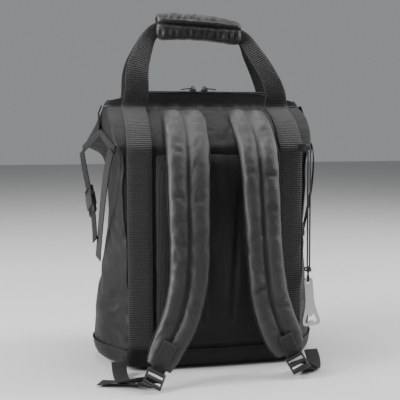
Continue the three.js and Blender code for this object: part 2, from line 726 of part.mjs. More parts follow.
const strapSection = [
  [-0.5, 0], [-0.25, 0.02], [0, 0.04], [0.25, 0.02], [0.5, 0],
  [0.5, edgeShare], [0.45, 0.7], [0.36, 0.94], [0.25, 1], [0.13, 0.9], [0.04, 0.55], [0, 0.42],
  [-0.04, 0.55], [-0.13, 0.9], [-0.25, 1], [-0.36, 0.94], [-0.45, 0.7], [-0.5, edgeShare],
].map(([u, v]) => new THREE.Vector2(u, v));

const backPlane = -halfDepth - panelBow - padThickness;
function strapPoint(row) {
  const x = row.x * halfWidth;
  const z = row.z > 1 ? mix(shoulderHeight, mouthSeamHeight, row.z - 1) : row.z * shoulderHeight;
  if (row.off === null) return skin(x, z, strapLift);
  return vec(x, backPlane - row.off * strapStand, z);
}

// Local frame to the model's: x across, y along, z out.
function placed(geometry, station, tangent, origin) {
  const basis = new THREE.Matrix4().makeBasis(station.across, tangent, station.out).setPosition(origin);
  return geometry.applyMatrix4(basis);
}

function box(wide, long, thick, x, y, z) {
  return new THREE.BoxGeometry(wide, long, thick).translate(x, y, z);
}

// Where the lower webbing of each strap is sewn into the base panel's seam
const seamOutside = 4;
const seamBehind = 8;
const cornerSeam = (hand) => vec(
  hand * (halfWidth + seamOutside),
  -halfDepth - seamBehind,
  0.6 * basePanelTop,
);

// The webbing's way over the floor from the lock to the corner, and the loose tail's from the lock.
// way: share of the straight way to the corner; side: share of that way, square to it, towards the outside;
// z: height of the underside as a share of basePanelTop.
const adjusterRoute = {
  left: [
    { way: 0.20, side: 0.03, z: 0.04 },
    { way: 0.34, side: 0.08, z: 0.02 },
    { way: 0.50, side: 0.11, z: 0.02 },
    { way: 0.67, side: 0.11, z: 0.05 },
    { way: 0.82, side: 0.07, z: 0.18 },
    { way: 0.92, side: 0.03, z: 0.38 },
    { way: 1.00, side: 0.00, z: 0.60 },
  ],
  right: [
    { way: 0.22, side: 0.00, z: 0.10 },
    { way: 0.36, side: 0.03, z: 0.02 },
    { way: 0.50, side: 0.08, z: 0.02 },
    { way: 0.66, side: 0.11, z: 0.04 },
    { way: 0.80, side: 0.09, z: 0.16 },
    { way: 0.92, side: 0.05, z: 0.38 },
    { way: 1.00, side: 0.00, z: 0.60 },
  ],
};
const turningRows = 4;
const settlingShares = [0.25, 0.5, 0.75];
const tailRoute = {
  left: [
    { way: 0.20, side: 0.04, z: 0.28 },
    { way: 0.38, side: 0.14, z: 0.17 },
    { way: 0.56, side: 0.27, z: 0.13 },
    { way: 0.75, side: 0.44, z: 0.07 },
  ],
  right: [
    { way: 0.17, side: -0.13, z: 0.56 },
    { way: 0.32, side: -0.08, z: 0.42 },
    { way: 0.45, side: 0.03, z: 0.26 },
    { way: 0.56, side: 0.18, z: 0.19 },
  ],
};

for (const [side, hand, table] of [['left', -1, leftStrap], ['right', 1, rightStrap]]) {
  const line = table.map(strapPoint);
  const stations = along(
    line,
    vec(0, -1, 0.25),
    table.map((row) => row.wide * strapWidth),
    table.map((row) => row.thick * strapThickness),
  );
  add(`shoulder_strap_${side}`, band(stations, strapSection), fabric);

  // Webbing tab sewn on the outer side of the strap's end
  const tail = stations.slice(-4);
  const end = tail[tail.length - 1];
  const slope = line[line.length - 1].clone().sub(line[line.length - 2]).normalize();
  const lean = slope.clone().add(vec(0, -0.35, 0.12)).normalize();
  const lockOut = end.out.clone().addScaledVector(lean, -end.out.dot(lean)).normalize();
  const lockFrame = { out: lockOut, across: lean.clone().cross(lockOut) };
  const lockTop = end.at.clone()
    .addScaledVector(slope, lockReach)
    .addScaledVector(end.out, end.thick / 2);
  const tabLine = tail.slice(1).map((s) => s.at.clone().addScaledVector(s.out, s.thick + laidGap));
  tabLine.push(lockTop.clone().addScaledVector(lean, -gap));
  const tab = along(tabLine, end.out, tabWebbing, tabThickness);
  Object.assign(tab[tab.length - 1], lockFrame);
  add(`strap_tab_${side}`, band(tab), webbingBlack);

  // Ladder lock: a plastic frame with two slots
  const lockWide = tabWebbing + 2 * lockBar;
  const frame = box(lockWide, lockLength, lockThickness, 0, lockLength / 2, 0);
  const slots = [0.3, 0.7].map(
    (share) => box(tabWebbing + 1, lockSlot, 2 * lockThickness, 0, share * lockLength, 0),
  );
  add(`ladder_lock_${side}`, placed(cut(frame, ...slots), lockFrame, lean, lockTop), plastic);

  // Lower webbing, from behind the lock over the floor to the base, and its loose tail, which leaves the
  // lock on top of it
  const foot = lockTop.clone().addScaledVector(lean, lockLength + gap);
  const hold = lockTop.clone()
    .addScaledVector(lean, lockLength - lockReach)
    .addScaledVector(lockOut, -lockThickness / 2 - gap);
  const way = cornerSeam(hand).sub(foot).setZ(0);
  const outside = vec(way.y, -way.x, 0).multiplyScalar(hand);
  const onFloor = (row) => foot.clone()
    .addScaledVector(way, row.way)
    .addScaledVector(outside, row.side)
    .setZ(row.z * basePanelTop);
  const fromLock = (above, rows, facing) => {
    const start = {
      at: hold.clone().addScaledVector(lean, -above),
      out: lean.clone().negate(),
      across: lockFrame.across.clone().negate(),
      wide: tabWebbing,
      thick: adjusterThickness,
    };
    const clear = { ...start, at: start.at.clone().addScaledVector(lockOut, -lockStand) };
    const points = [clear.at, ...rows.map(onFloor)];
    const own = along(points, [start.out, ...facing], tabWebbing, adjusterThickness).slice(1);
    const rest = own.map((station, i) => {
      const turned = between(start, station, Math.min((i + 1) / turningRows, 1));
      const raise = Math.abs(turned.across.z) * tabWebbing / 2;
      const at = station.at.clone().setZ(station.at.z + raise);
      return { ...turned, at, out: square(station.out, turned.across) };
    });
    const settling = settlingShares.map((share) => between(clear, rest[0], share));
    return band([start, clear, ...settling, ...rest]);
  };
  const route = adjusterRoute[side];
  const facing = route.map((row) => vec(0, -Math.max(row.way - 0.7, 0) * 2, 1));
  add(`adjuster_webbing_${side}`, fromLock(0, route, facing), webbingBlack);
  const loose = tailRoute[side];
  add(`adjuster_tail_${side}`, fromLock(tailAbove, loose, loose.map(() => vec(0, 0, 1))), webbingBlack);
}

// Gusset binding: the mouth's end tape runs down the side as a stem and forks along the folded gusset
const lipRow = sections.find((row) => row.span === 1 && row.at === 0);
const stemRows = sections.filter((row) => row.span === 1).reverse();
const sideMiddle = quarter[lastStation];
const lipStations = quarter.slice(-4).reverse();
const bindingLift = 0.7;
const stemLift = bindingLift + webbingThickness;
const bindingHang = 3.5;
for (const [side, hand] of [['left', -1], ['right', 1]]) {
  const outward = vec(hand, 0, 0);
  const stemLine = stemRows.map(
    (row) => outline(row, sideMiddle, hand, -1).addScaledVector(outward, stemLift),
  );
  const stem = band(along(stemLine, outward, stemWidth, webbingThickness));
  const arms = [-1, 1].map((signY) => {
    const armLine = lipStations.map((s) => outline(lipRow, s, hand, signY)
      .addScaledVector(outward, bindingLift)
      .add(vec(0, 0, -bindingHang)));
    return band(along(armLine, outward, bindingWidth, webbingThickness));
  });
  add(`gusset_binding_${side}`, fuse(stem, ...arms), webbingBlack);
}

// Side straps: from each end of the binding down to a loose V, held by a fastened side-release buckle
// x: distance outside the half width as a share of sideStandOff; y: share of the half depth; z: share of
// shoulderHeight; all on the line that the webbing's inner side follows.
const sideStandOff = 20;
const backLimb = [
  { x: 0.45, y: -0.890, z: 0.985 },
  { x: 0.68, y: -0.820, z: 0.930 },
  { x: 0.88, y: -0.640, z: 0.820 },
  { x: 0.98, y: -0.420, z: 0.720 },
  { x: 1.04, y: -0.210, z: 0.630 },
  { x: 1.08, y: -0.060, z: 0.560 },
  { x: 1.13, y: 0.040, z: 0.505 },
  { x: 1.15, y: 0.090, z: 0.465 },
];
const frontLimb = [
  { x: 2.12, y: 0.925, z: 0.965 },
  { x: 2.00, y: 0.840, z: 0.905 },
  { x: 1.85, y: 0.725, z: 0.845 },
  { x: 1.72, y: 0.630, z: 0.800 },
];
const buckleTop = { x: 1.68, y: 0.600, z: 0.787 };
const buckleFoot = { x: 1.38, y: 0.270, z: 0.650 };
const lowerLimb = [
  { x: 1.38, y: 0.140, z: 0.597 },
  { x: 1.43, y: 0.040, z: 0.552 },
];

function plugParts() {
  const bar = cut(
    box(buckleWidth, plugBarLength, plugBarThickness, 0, plugBarLength / 2, 0),
    box(sideWebbing + 1, webbingSlot, 2 * plugBarThickness, 0, plugBarLength / 3, 0),
  );
  const start = plugBarLength - prongRoot;
  const prongEnd = start + prongLength;
  const prongs = [-1, 1].flatMap((s) => [
    box(prongWidth, prongLength, prongThickness, s * prongSpread, start + prongLength / 2, 0),
    box(prongWidth, catchLength, prongThickness, s * catchSpread, prongEnd - catchLength / 2, 0),
  ]);
  return fuse(bar, ...prongs, box(guideWidth, guideLength, prongThickness, 0, start + guideLength / 2, 0));
}

function socketParts() {
  const end = socketStart + socketLength;
  const body = box(buckleWidth, socketLength, buckleThickness, 0, socketStart + socketLength / 2, 0);
  const cavity = box(
    buckleWidth - 2 * socketWall, 2 * socketCavityDepth, socketCavityHeight, 0, socketStart, 0,
  );
  const windows = box(
    2 * buckleWidth, releaseWindow, socketCavityHeight, 0, socketStart + releaseWindowAt, 0,
  );
  const ladder = box(buckleWidth, ladderLength + 1, ladderThickness, 0, end + (ladderLength - 1) / 2, 0);
  const slots = [0, 1].map((i) => box(
    sideWebbing + 1, ladderSlot, 2 * ladderThickness, 0, end + ladderStart + ladderPitch * i, 0,
  ));
  return fuse(cut(body, cavity, windows), cut(ladder, ...slots));
}

for (const [side, hand] of [['left', -1], ['right', 1]]) {
  const spot = (row) => vec(
    hand * (halfWidth + row.x * sideStandOff),
    row.y * halfDepth,
    row.z * shoulderHeight,
  );
  const facing = vec(hand * 0.95, -0.3, 0).normalize();
  const limb = (line) => band(along(line, facing, sideWebbing, webbingThickness));
  const top = spot(buckleTop);
  const way = spot(buckleFoot).sub(top).normalize();
  const bottom = top.clone().addScaledVector(way, socketStart + socketLength + ladderLength + gap);
  add(`side_strap_back_${side}`, limb(backLimb.map(spot)), webbingBlack);
  const held = top.clone().addScaledVector(way, -gap);
  add(`side_strap_front_${side}`, limb([...frontLimb.map(spot), held]), webbingBlack);
  add(`side_strap_lower_${side}`, limb([bottom, ...lowerLimb.map(spot)]), webbingBlack);

  const out = facing.clone().addScaledVector(way, -facing.dot(way)).normalize();
  const frame = { out, across: way.clone().cross(out) };
  const centre = top.clone().addScaledVector(out, webbingThickness / 2);
  add(`side_buckle_plug_${side}`, placed(plugParts(), frame, way, centre), plastic);
  add(`side_buckle_socket_${side}`, placed(socketParts(), frame, way, centre), plastic);
}

// Cord anchor: a small sewn tab over the edge of the right handle webbing
const webbingEdge = handleSpread + handleWebbing / 2;
const anchorX = webbingEdge - anchorOverlap;
const anchorZ = shoulderHeight - anchorBelowShoulder;
const anchorBack = face(webbingEdge, anchorZ - anchorTall / 2, -1) - laidGap - webbingThickness
  - anchorStand;
const anchorY = anchorBack - anchorThick / 2;
add('cord_anchor', box(anchorWidth, anchorThick, anchorTall, anchorX, anchorY, anchorZ), webbingBlack);

// Opener cord: one doubled length, out of the anchor, through the opener's eye and back. Millimetres from
// the middle of the anchor's outer end.
const cordX = anchorX + anchorWidth / 2;
const cordRoute = table(
  ['x', 'y', 'z'],
  [0.4, 0, -3.4], [2.4, 0, -4.0], [3.8, -0.1, -6.4], [4.1, -0.2, -12],
  [4.3, -0.4, -40], [4.5, -0.6, -80], [4.8, -0.9, -130], [5.0, -1.1, -165],
  [5.2, -1.3, -187], [5.6, -3.0, -195.5], [6.0, -5.2, -200.5], [6.3, -5.4, -204],
  [6.6, -3.6, -208.4], [6.8, -0.9, -210], [7.0, 1.8, -208.4], [7.3, 3.4, -204],
  [7.6, 2.8, -200], [8.0, 0.5, -195], [8.4, -1.1, -188], [8.6, -1.1, -165],
  [8.5, -0.9, -130], [8.4, -0.6, -80], [8.3, -0.4, -40], [8.1, -0.1, -12],
  [7.9, 0, -4], [6.8, 0, 0.4], [4.6, 0, 3.0], [2.4, 0, 3.5],
  [0.4, 0, 3.5],
);
{
  const curve = new THREE.CatmullRomCurve3(
    cordRoute.map(({ x, y, z }) => vec(cordX + x, anchorY + y, anchorZ + z)),
    false,
    'centripetal',
  );
  const circle = new THREE.Shape(Array.from({ length: cordSides }, (unused, i) => {
    const angle = (2 * Math.PI * i) / cordSides;
    return new THREE.Vector2(Math.cos(angle), Math.sin(angle)).multiplyScalar(cordDiameter / 2);
  }));
  const sweep = { steps: cordSteps, extrudePath: curve, bevelEnabled: false };
  add('opener_cord', new THREE.ExtrudeGeometry(circle, sweep), cordBlack);
}

// Bottle opener, hung in the cord's loop. Right half of its outline and of its mouth, from the top down;
// across: share of half the foot's width, down: share of the length.
const loopX = cordX + loopReach;
const loopY = anchorY - loopStand;
const openerTop = anchorZ - cordDrop + cordDiameter / 2 + eyeClearance + openerRim;
const openerOutline = table(
  ['across', 'down'],
  [0.24, 0.000], [0.40, 0.010], [0.48, 0.040], [0.48, 0.300], [0.50, 0.460], [0.60, 0.600],
  [0.78, 0.730], [0.95, 0.840], [1.00, 0.900], [0.98, 0.950], [0.86, 0.985], [0.60, 0.995],
);
const openerMouth = table(
  ['across', 'down'],
  [0.12, 0.805], [0.18, 0.775], [0.43, 0.755], [0.56, 0.830], [0.70, 0.905], [0.62, 0.930],
  [0.45, 0.935], [0.30, 0.920], [0.17, 0.893],
);
{
  const outlineOf = (rows) => {
    const half = rows.map(({ across, down }) => [across * openerFoot / 2, -down * openerLength]);
    const mirrored = half.slice().reverse().map(([x, z]) => [-x, z]);
    return new THREE.Shape([...half, ...mirrored].map(([x, z]) => new THREE.Vector2(x, z)));
  };
  const eye = new THREE.Shape();
  eye.absellipse(
    0, -openerRim - openerEyeHeight / 2, openerEyeWidth / 2, openerEyeHeight / 2, 0, Math.PI * 2, false,
  );
  const extruded = { bevelEnabled: false, curveSegments: 7 };
  const prism = (shape, depth) => new THREE.ExtrudeGeometry(shape, { ...extruded, depth })
    .translate(0, 0, -depth / 2)
    .rotateX(Math.PI / 2)
    .rotateY(radians(-openerTilt));
  const plate = cut(
    prism(outlineOf(openerOutline), openerThickness),
    prism(outlineOf(openerMouth), 2 * openerThickness),
    prism(eye, 2 * openerThickness),
  );
  add('bottle_opener', plate.translate(loopX, loopY, openerTop), satinSteel);
}

// Knot that closes the cord's loop above the opener
const knotZ = anchorZ - knotDrop;
{
  const bore = cordDiameter + knotClearance;
  const profile = [
    [bore, -0.36 * knotTall], [bore + 0.6 * knotWall, -knotTall / 2], [bore + knotWall, 0],
    [bore + 0.6 * knotWall, knotTall / 2], [bore, 0.36 * knotTall],
  ].map(([r, z]) => new THREE.Vector2(r, z));
  profile.push(profile[0].clone());
  const knot = new THREE.LatheGeometry(profile, 10).rotateX(Math.PI / 2);
  add('cord_knot', knot.translate(loopX, loopY, knotZ), cordBlack);
}

export default backpack;
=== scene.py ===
import json
import math

import bmesh
import bpy
import numpy as np
from mathutils import Matrix, Vector, noise

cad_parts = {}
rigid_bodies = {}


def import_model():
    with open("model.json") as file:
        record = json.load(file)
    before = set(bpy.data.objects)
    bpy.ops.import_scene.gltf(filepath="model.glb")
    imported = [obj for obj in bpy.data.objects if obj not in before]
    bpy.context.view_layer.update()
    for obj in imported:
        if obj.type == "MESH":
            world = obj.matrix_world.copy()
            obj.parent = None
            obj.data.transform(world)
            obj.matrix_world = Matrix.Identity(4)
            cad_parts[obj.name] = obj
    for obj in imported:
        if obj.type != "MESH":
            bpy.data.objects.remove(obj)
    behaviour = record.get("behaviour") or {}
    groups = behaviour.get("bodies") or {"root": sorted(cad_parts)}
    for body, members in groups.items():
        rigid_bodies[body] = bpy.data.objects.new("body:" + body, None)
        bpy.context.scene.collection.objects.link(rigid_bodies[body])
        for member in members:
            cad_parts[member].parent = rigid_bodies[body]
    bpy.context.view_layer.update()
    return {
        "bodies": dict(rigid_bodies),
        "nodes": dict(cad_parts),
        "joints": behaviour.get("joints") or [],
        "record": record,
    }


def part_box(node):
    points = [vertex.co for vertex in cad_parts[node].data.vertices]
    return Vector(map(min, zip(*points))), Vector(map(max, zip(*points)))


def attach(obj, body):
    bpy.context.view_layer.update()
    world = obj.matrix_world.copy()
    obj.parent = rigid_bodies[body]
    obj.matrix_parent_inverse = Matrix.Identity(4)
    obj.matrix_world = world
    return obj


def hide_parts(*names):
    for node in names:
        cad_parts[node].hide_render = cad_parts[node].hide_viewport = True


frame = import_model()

MM = 0.001
nodes = frame["nodes"]
PACK = "pack"


# Camera and cord. Places of the camera and the lights are in metres.
CAMERA_PLACE = Vector((-0.264, -1.217, 0.375))
CAMERA_TARGET = Vector((-0.005, 0, 0.251))
LENS = 68.5
FILM_WIDTH = 36


def make_camera():
    """The photograph's view: from the strap side, a little left of the middle and slightly from above."""
    camera = bpy.data.objects.new("camera", bpy.data.cameras.new("camera"))
    bpy.context.scene.collection.objects.link(camera)
    camera.location = CAMERA_PLACE
    camera.rotation_euler = (CAMERA_TARGET - CAMERA_PLACE).to_track_quat("-Z", "Y").to_euler()
    camera.data.lens = LENS
    camera.data.sensor_width = FILM_WIDTH
    bpy.context.scene.camera = camera


make_camera()

CORD_DIAMETER = 2.6 * MM
anchor_low, anchor_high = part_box("cord_anchor")
CORD_EXIT = Vector((anchor_high.x, (anchor_low.y + anchor_high.y) / 2, (anchor_low.z + anchor_high.z) / 2))
# The cord's way out of the anchor, down to the opener's eye, through it and back, from CORD_EXIT in millimetres
CORD_ROUTE = (
    (0.4, 0, -3.4), (2.4, 0, -4.0), (3.8, -0.1, -6.4), (4.1, -0.2, -12), (4.3, -0.4, -40),
    (4.5, -0.6, -80), (4.8, -0.9, -130), (5.0, -1.1, -165), (5.2, -1.3, -187), (5.6, -3.0, -195.5),
    (6.0, -5.2, -200.5), (6.3, -5.4, -204), (6.6, -3.6, -208.4), (6.8, -0.9, -210), (7.0, 1.8, -208.4),
    (7.3, 3.4, -204), (7.6, 2.8, -200), (8.0, 0.5, -195), (8.4, -1.1, -188), (8.6, -1.1, -165),
    (8.5, -0.9, -130), (8.4, -0.6, -80), (8.3, -0.4, -40), (8.1, -0.1, -12), (7.9, 0, -4),
    (6.8, 0, 0.4), (4.6, 0, 3.0), (2.4, 0, 3.5), (0.4, 0, 3.5),
)


# Shader graphs
class Wire:
    """A socket of a material that takes part in Python arithmetic."""

    def __init__(self, graph, socket):
        self.graph = graph
        self.socket = socket

    def math(self, operation, *values):
        return self.graph.node("ShaderNodeMath", {"operation": operation}, *values)

    def __add__(self, other):
        return self.math("ADD", self, other)

    def __sub__(self, other):
        return self.math("SUBTRACT", self, other)

    def __rsub__(self, other):
        return self.math("SUBTRACT", other, self)

    def __mul__(self, other):
        return self.math("MULTIPLY", self, other)

    def __truediv__(self, other):
        return self.math("DIVIDE", self, other)

    __radd__ = __add__
    __rmul__ = __mul__

    def size(self):
        return self.math("ABSOLUTE", self)

    def wave(self):
        return self.math("SINE", self)

    def ramp(self, low, high):
        """0 below low, 1 above high, smooth between."""
        settings = {"interpolation_type": "SMOOTHSTEP"}
        return self.graph.node("ShaderNodeMapRange", settings, self, low, high)


class Finish:
    """One material: its nodes and its Principled shader."""

    def __init__(self, name, **fixed):
        self.material = bpy.data.materials.new(name)
        self.material.use_nodes = True
        self.tree = self.material.node_tree
        self.shader = self.tree.nodes["Principled BSDF"]
        for socket, value in fixed.items():
            self.shader.inputs[socket.replace("_", " ")].default_value = value

    def node(self, kind, settings, *values, output=0, **named):
        made = self.tree.nodes.new(kind)
        for key, value in settings.items():
            setattr(made, key, value)
        for key, value in [*enumerate(values), *named.items()]:
            socket = made.inputs[key if isinstance(key, int) else key.replace("_", " ")]
            if isinstance(value, Wire):
                self.tree.links.new(value.socket, socket)
            else:
                socket.default_value = value
        return Wire(self, made.outputs[output])

    def place(self):
        """Where a point is on the object, in metres."""
        return self.node("ShaderNodeTexCoord", {}, output="Object")

    def along(self):
        """Metres along and across a strap, from its own map."""
        return self.split(self.node("ShaderNodeUVMap", {"uv_map": "lay"}))

    def split(self, vector):
        node = self.node("ShaderNodeSeparateXYZ", {}, vector).socket.node
        return [Wire(self, output) for output in node.outputs]

    def cloud(self, scale, detail=3.0, roughness=0.55, stretch=None):
        """Noise from 0 to 1, with `scale` waves a metre."""
        vector = self.place()
        if stretch:
            vector = self.node("ShaderNodeMapping", {}, vector, Scale=stretch)
        return self.node(
            "ShaderNodeTexNoise", {}, Vector=vector, Scale=scale, Detail=detail, Roughness=roughness,
        )

    def blend(self, factor, dark, light):
        node = self.node("ShaderNodeMix", {"data_type": "RGBA"}, factor, output=2).socket.node
        for socket, colour in ((node.inputs[6], dark), (node.inputs[7], light)):
            if isinstance(colour, Wire):
                self.tree.links.new(colour.socket, socket)
            else:
                socket.default_value = (*colour, 1)
        return Wire(self, node.outputs[2])

    def feed(self, socket, value):
        self.tree.links.new(value.socket, self.shader.inputs[socket])

    def bump(self, height, distance, strength=1.0):
        normal = self.node("ShaderNodeBump", {}, Strength=strength, Distance=distance, Height=height)
        self.feed("Normal", normal)


def grey(value, warm=0.0):
    return (value * (1 + warm), value, value * (1 - warm))


def woven_nylon(name, dark, light, rough, shine=0.40, mouth=None, slit=None):
    """Black packcloth: a fine plain weave, sharp creases and rubbed high spots. It is painted blacker, as
    shade, above `mouth` and in a slit, which is given as its height at x = 0, its slope and half its width."""
    finish = Finish(name, Sheen_Weight=0.04, Sheen_Roughness=0.4, Specular_IOR_Level=shine)
    x, y, z = finish.split(finish.place())
    thread = 2 * math.pi / (0.9 * MM)
    weft = (z * thread).wave()
    warp = ((x + y) * thread).wave()
    weave = weft * warp
    rubbed = finish.cloud(14, detail=5).ramp(0.40, 0.72)
    tone = finish.cloud(42, detail=4) * 0.5 + rubbed * 0.5
    colour = finish.blend(tone, grey(dark), grey(light))
    roughness = rough + finish.cloud(60, detail=3) * 0.16 - rubbed * 0.06
    if mouth is not None:
        # Painted shade: above the mouth seam the cloth is made near black and duller, for the dark band over
        # the seam.
        fin_shade = z.ramp(mouth - 0.5 * MM, mouth + 0.5 * MM)
        colour = finish.blend(fin_shade, colour, grey(0.0012))
        roughness = roughness + fin_shade * 0.30
    if slit is not None:
        # Painted shade: in the slit between the grip's two rolls the cloth is made near black and duller.
        height, slope, half = slit
        inside = 1.0 - ((z - x * slope - height).size() / half).ramp(0.7, 1.1)
        colour = finish.blend(inside, colour, grey(0.0004))
        roughness = roughness + inside * 0.35
    finish.feed("Base Color", colour)
    finish.feed("Roughness", roughness)
    creases = finish.cloud(26, detail=6, roughness=0.6)
    slack = finish.cloud(9, detail=3)
    ridge = (1.0 - (finish.cloud(11, detail=2) * 2.0 - 1.0).size() * 3.0).ramp(0.45, 1.0)
    finish.bump(weave * 0.05 + creases * 3.0 + slack * 5.0 - ridge * 0.9, 1.5 * MM, 0.8)
    return finish.material


def webbing(name, dark, light, pitch=3.4 * MM, columns=4.2 * MM):
    """Woven strap: cross ribs that are broken into columns along its length."""
    finish = Finish(name, Sheen_Weight=0.04, Sheen_Roughness=0.4, Specular_IOR_Level=0.36)
    u, v = finish.along()[:2]
    turn = 2 * math.pi
    column = (v * (turn / columns)).wave()
    rib = (u * (turn / pitch) + column * 0.35).wave()
    thread = rib * 0.5 + 0.5
    wear = finish.cloud(30, detail=4)
    tone = thread * 0.6 + wear * 0.4
    finish.feed("Base Color", finish.blend(tone, grey(dark), grey(light)))
    finish.feed("Roughness", 0.72 - thread * 0.16 + wear * 0.08)
    finish.bump(thread + column * 0.1 + wear * 0.3, 0.8 * MM, 0.9)
    return finish.material


def tape(name, dark, light):
    """Binding tape and sewn edges, a fine rib in object space."""
    finish = Finish(name, Sheen_Weight=0.03, Specular_IOR_Level=0.35)
    x, y, z = finish.split(finish.place())
    rib = ((x + y * 0.6 + z) * (2 * math.pi / (1.4 * MM))).wave() * 0.5 + 0.5
    wear = finish.cloud(50, detail=4)
    finish.feed("Base Color", finish.blend(rib * 0.5 + wear * 0.5, grey(dark), grey(light)))
    finish.feed("Roughness", 0.62 + wear * 0.2)
    finish.bump(rib + wear * 0.6, 0.3 * MM, 0.7)
    return finish.material


def spacer_mesh(name):
    """Back panel cloth: an open knitted mesh of small round cells."""
    finish = Finish(name, Sheen_Weight=0.03, Specular_IOR_Level=0.22)
    place = finish.place()
    cell = finish.node("ShaderNodeTexVoronoi", {"feature": "F1"}, Vector=place, Scale=420.0, Randomness=0.25)
    hole = cell.ramp(0.18, 0.52)
    wear = finish.cloud(22, detail=5)
    finish.feed("Base Color", finish.blend(hole * 0.6 + wear * 0.4, grey(0.002), grey(0.012)))
    finish.feed("Roughness", 0.70 + wear * 0.15)
    finish.bump(hole + wear * 0.8, 0.7 * MM, 0.8)
    return finish.material


def moulded_plastic():
    finish = Finish("moulded_plastic", Specular_IOR_Level=0.5)
    grain = finish.cloud(900, detail=2)
    wear = finish.cloud(60, detail=4)
    finish.feed("Base Color", finish.blend(wear, grey(0.008), grey(0.018)))
    finish.feed("Roughness", 0.30 + wear * 0.18)
    finish.bump(grain * 0.6 + wear * 0.4, 0.12 * MM, 0.5)
    return finish.material


def dark_metal():
    finish = Finish("dark_metal", Metallic=0.9)
    wear = finish.cloud(240, detail=4)
    finish.feed("Base Color", finish.blend(wear.ramp(0.45, 0.75), grey(0.05), grey(0.16)))
    finish.feed("Roughness", 0.26 + wear * 0.2)
    finish.bump(wear, 0.08 * MM, 0.4)
    return finish.material


def satin_steel():
    """Opener steel: brushed along its length, with smudges."""
    finish = Finish("satin_steel", Metallic=1.0)
    brushed = finish.cloud(900, detail=3, stretch=(1.0, 1.0, 0.05))
    smudge = finish.cloud(70, detail=3)
    finish.feed("Base Color", finish.blend(brushed * 0.5 + smudge * 0.5, grey(0.34), grey(0.52)))
    finish.feed("Roughness", 0.20 + brushed * 0.14 + smudge * 0.08)
    finish.bump(brushed, 0.05 * MM, 0.5)
    return finish.material


def braided_cord():
    finish = Finish("braided_cord", Sheen_Weight=0.3, Specular_IOR_Level=0.4)
    x, y, z = finish.split(finish.place())
    lay = 2 * math.pi / (1.7 * MM)
    left = ((z + x * 1.4 + y * 1.4) * lay).wave()
    right = ((z - x * 1.4 - y * 1.4) * lay).wave()
    braid = left * right * 0.5 + 0.5
    finish.feed("Base Color", finish.blend(braid, grey(0.006), grey(0.030)))
    finish.feed("Roughness", 0.70 - braid * 0.15)
    finish.bump(braid, 0.35 * MM, 0.9)
    return finish.material


# Height of the mouth seam in millimetres; above it the body cloth is painted near black as shade.
MOUTH_SEAM_HEIGHT = 402
# The grip's slit, where the grip cloth is painted near black as shade in the recess: its height at x = 0, its
# slope and half its width
GRIP_SLIT_SHADE = (530 * MM, -0.0515, 2.6 * MM)
# Painted shade and light: the body cloth is darker and the strap cloth lighter, partly the straps' smoother,
# shinier face and partly painted shade on the bag's walls and painted light on the straps.
BODY_CLOTH = woven_nylon("body_cloth", 0.002, 0.007, 0.50, shine=0.24, mouth=MOUTH_SEAM_HEIGHT * MM)
STRAP_CLOTH = woven_nylon("strap_cloth", 0.014, 0.030, 0.44, shine=0.42)
GRIP_CLOTH = woven_nylon("grip_cloth", 0.006, 0.018, 0.46, slit=GRIP_SLIT_SHADE)
BASE_CLOTH = woven_nylon("base_cloth", 0.0015, 0.004, 0.48, shine=0.25)
BACK_MESH = spacer_mesh("back_mesh")
CARRY_WEBBING = webbing("carry_webbing", 0.004, 0.034)
SMALL_WEBBING = webbing("small_webbing", 0.003, 0.016, pitch=1.6 * MM, columns=2.4 * MM)
SIDE_WEBBING = webbing("side_webbing", 0.001, 0.006, pitch=1.8 * MM, columns=2.6 * MM)
BINDING = tape("binding", 0.001, 0.004)
THREAD = tape("thread", 0.03, 0.08)
PLASTIC = moulded_plastic()
METAL = dark_metal()
STEEL = satin_steel()
CORD = braided_cord()


# Pieces
def show(name, mesh, material, body=PACK, replaces=()):
    """A finished piece in its place, riding on its body."""
    piece = bpy.data.objects.new(name, mesh)
    bpy.context.scene.collection.objects.link(piece)
    mesh.materials.clear()
    mesh.materials.append(material)
    mesh.shade_smooth()
    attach(piece, body)
    if replaces:
        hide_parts(*replaces)
    return piece


def merged(node):
    """A copy of a CAD node with its corners joined."""
    mesh = bmesh.new()
    mesh.from_mesh(nodes[node].data)
    bmesh.ops.remove_doubles(mesh, verts=mesh.verts, dist=0.02 * MM)
    return mesh


def made(mesh, name):
    data = bpy.data.meshes.new(name)
    mesh.to_mesh(data)
    mesh.free()
    return data


def settled(piece):
    """The piece's mesh with its modifiers applied."""
    depsgraph = bpy.context.evaluated_depsgraph_get()
    data = bpy.data.meshes.new_from_object(piece.evaluated_get(depsgraph))
    piece.modifiers.clear()
    piece.data = data
    data.shade_smooth()
    return piece


def smoothed(piece, levels):
    modifier = piece.modifiers.new("round", "SUBSURF")
    modifier.levels = modifier.render_levels = levels
    return settled(piece)


# Lofted solids as ordered rings
def flat_patch(seed):
    """The faces joined to this one that lie in its plane."""
    patch = {seed}
    open_faces = [seed]
    while open_faces:
        for edge in open_faces.pop().edges:
            for other in edge.link_faces:
                if other not in patch and other.normal.dot(seed.normal) > 0.9998:
                    patch.add(other)
                    open_faces.append(other)
    return patch


def cap_ring(mesh, towards, corners=4):
    """The corners of the flat end that lies farthest towards a direction, in order."""
    towards = Vector(towards).normalized()
    ends = []
    for face in mesh.faces:
        if face.normal.dot(towards) > 0.35:
            patch = flat_patch(face)
            rim = [e for f in patch for e in f.edges if sum(other in patch for other in e.link_faces) == 1]
            if len(rim) == corners and len(patch) == corners - 2:
                ends.append((face.calc_center_median().dot(towards), rim))
    return walked(max(ends, key=lambda end: end[0])[1])


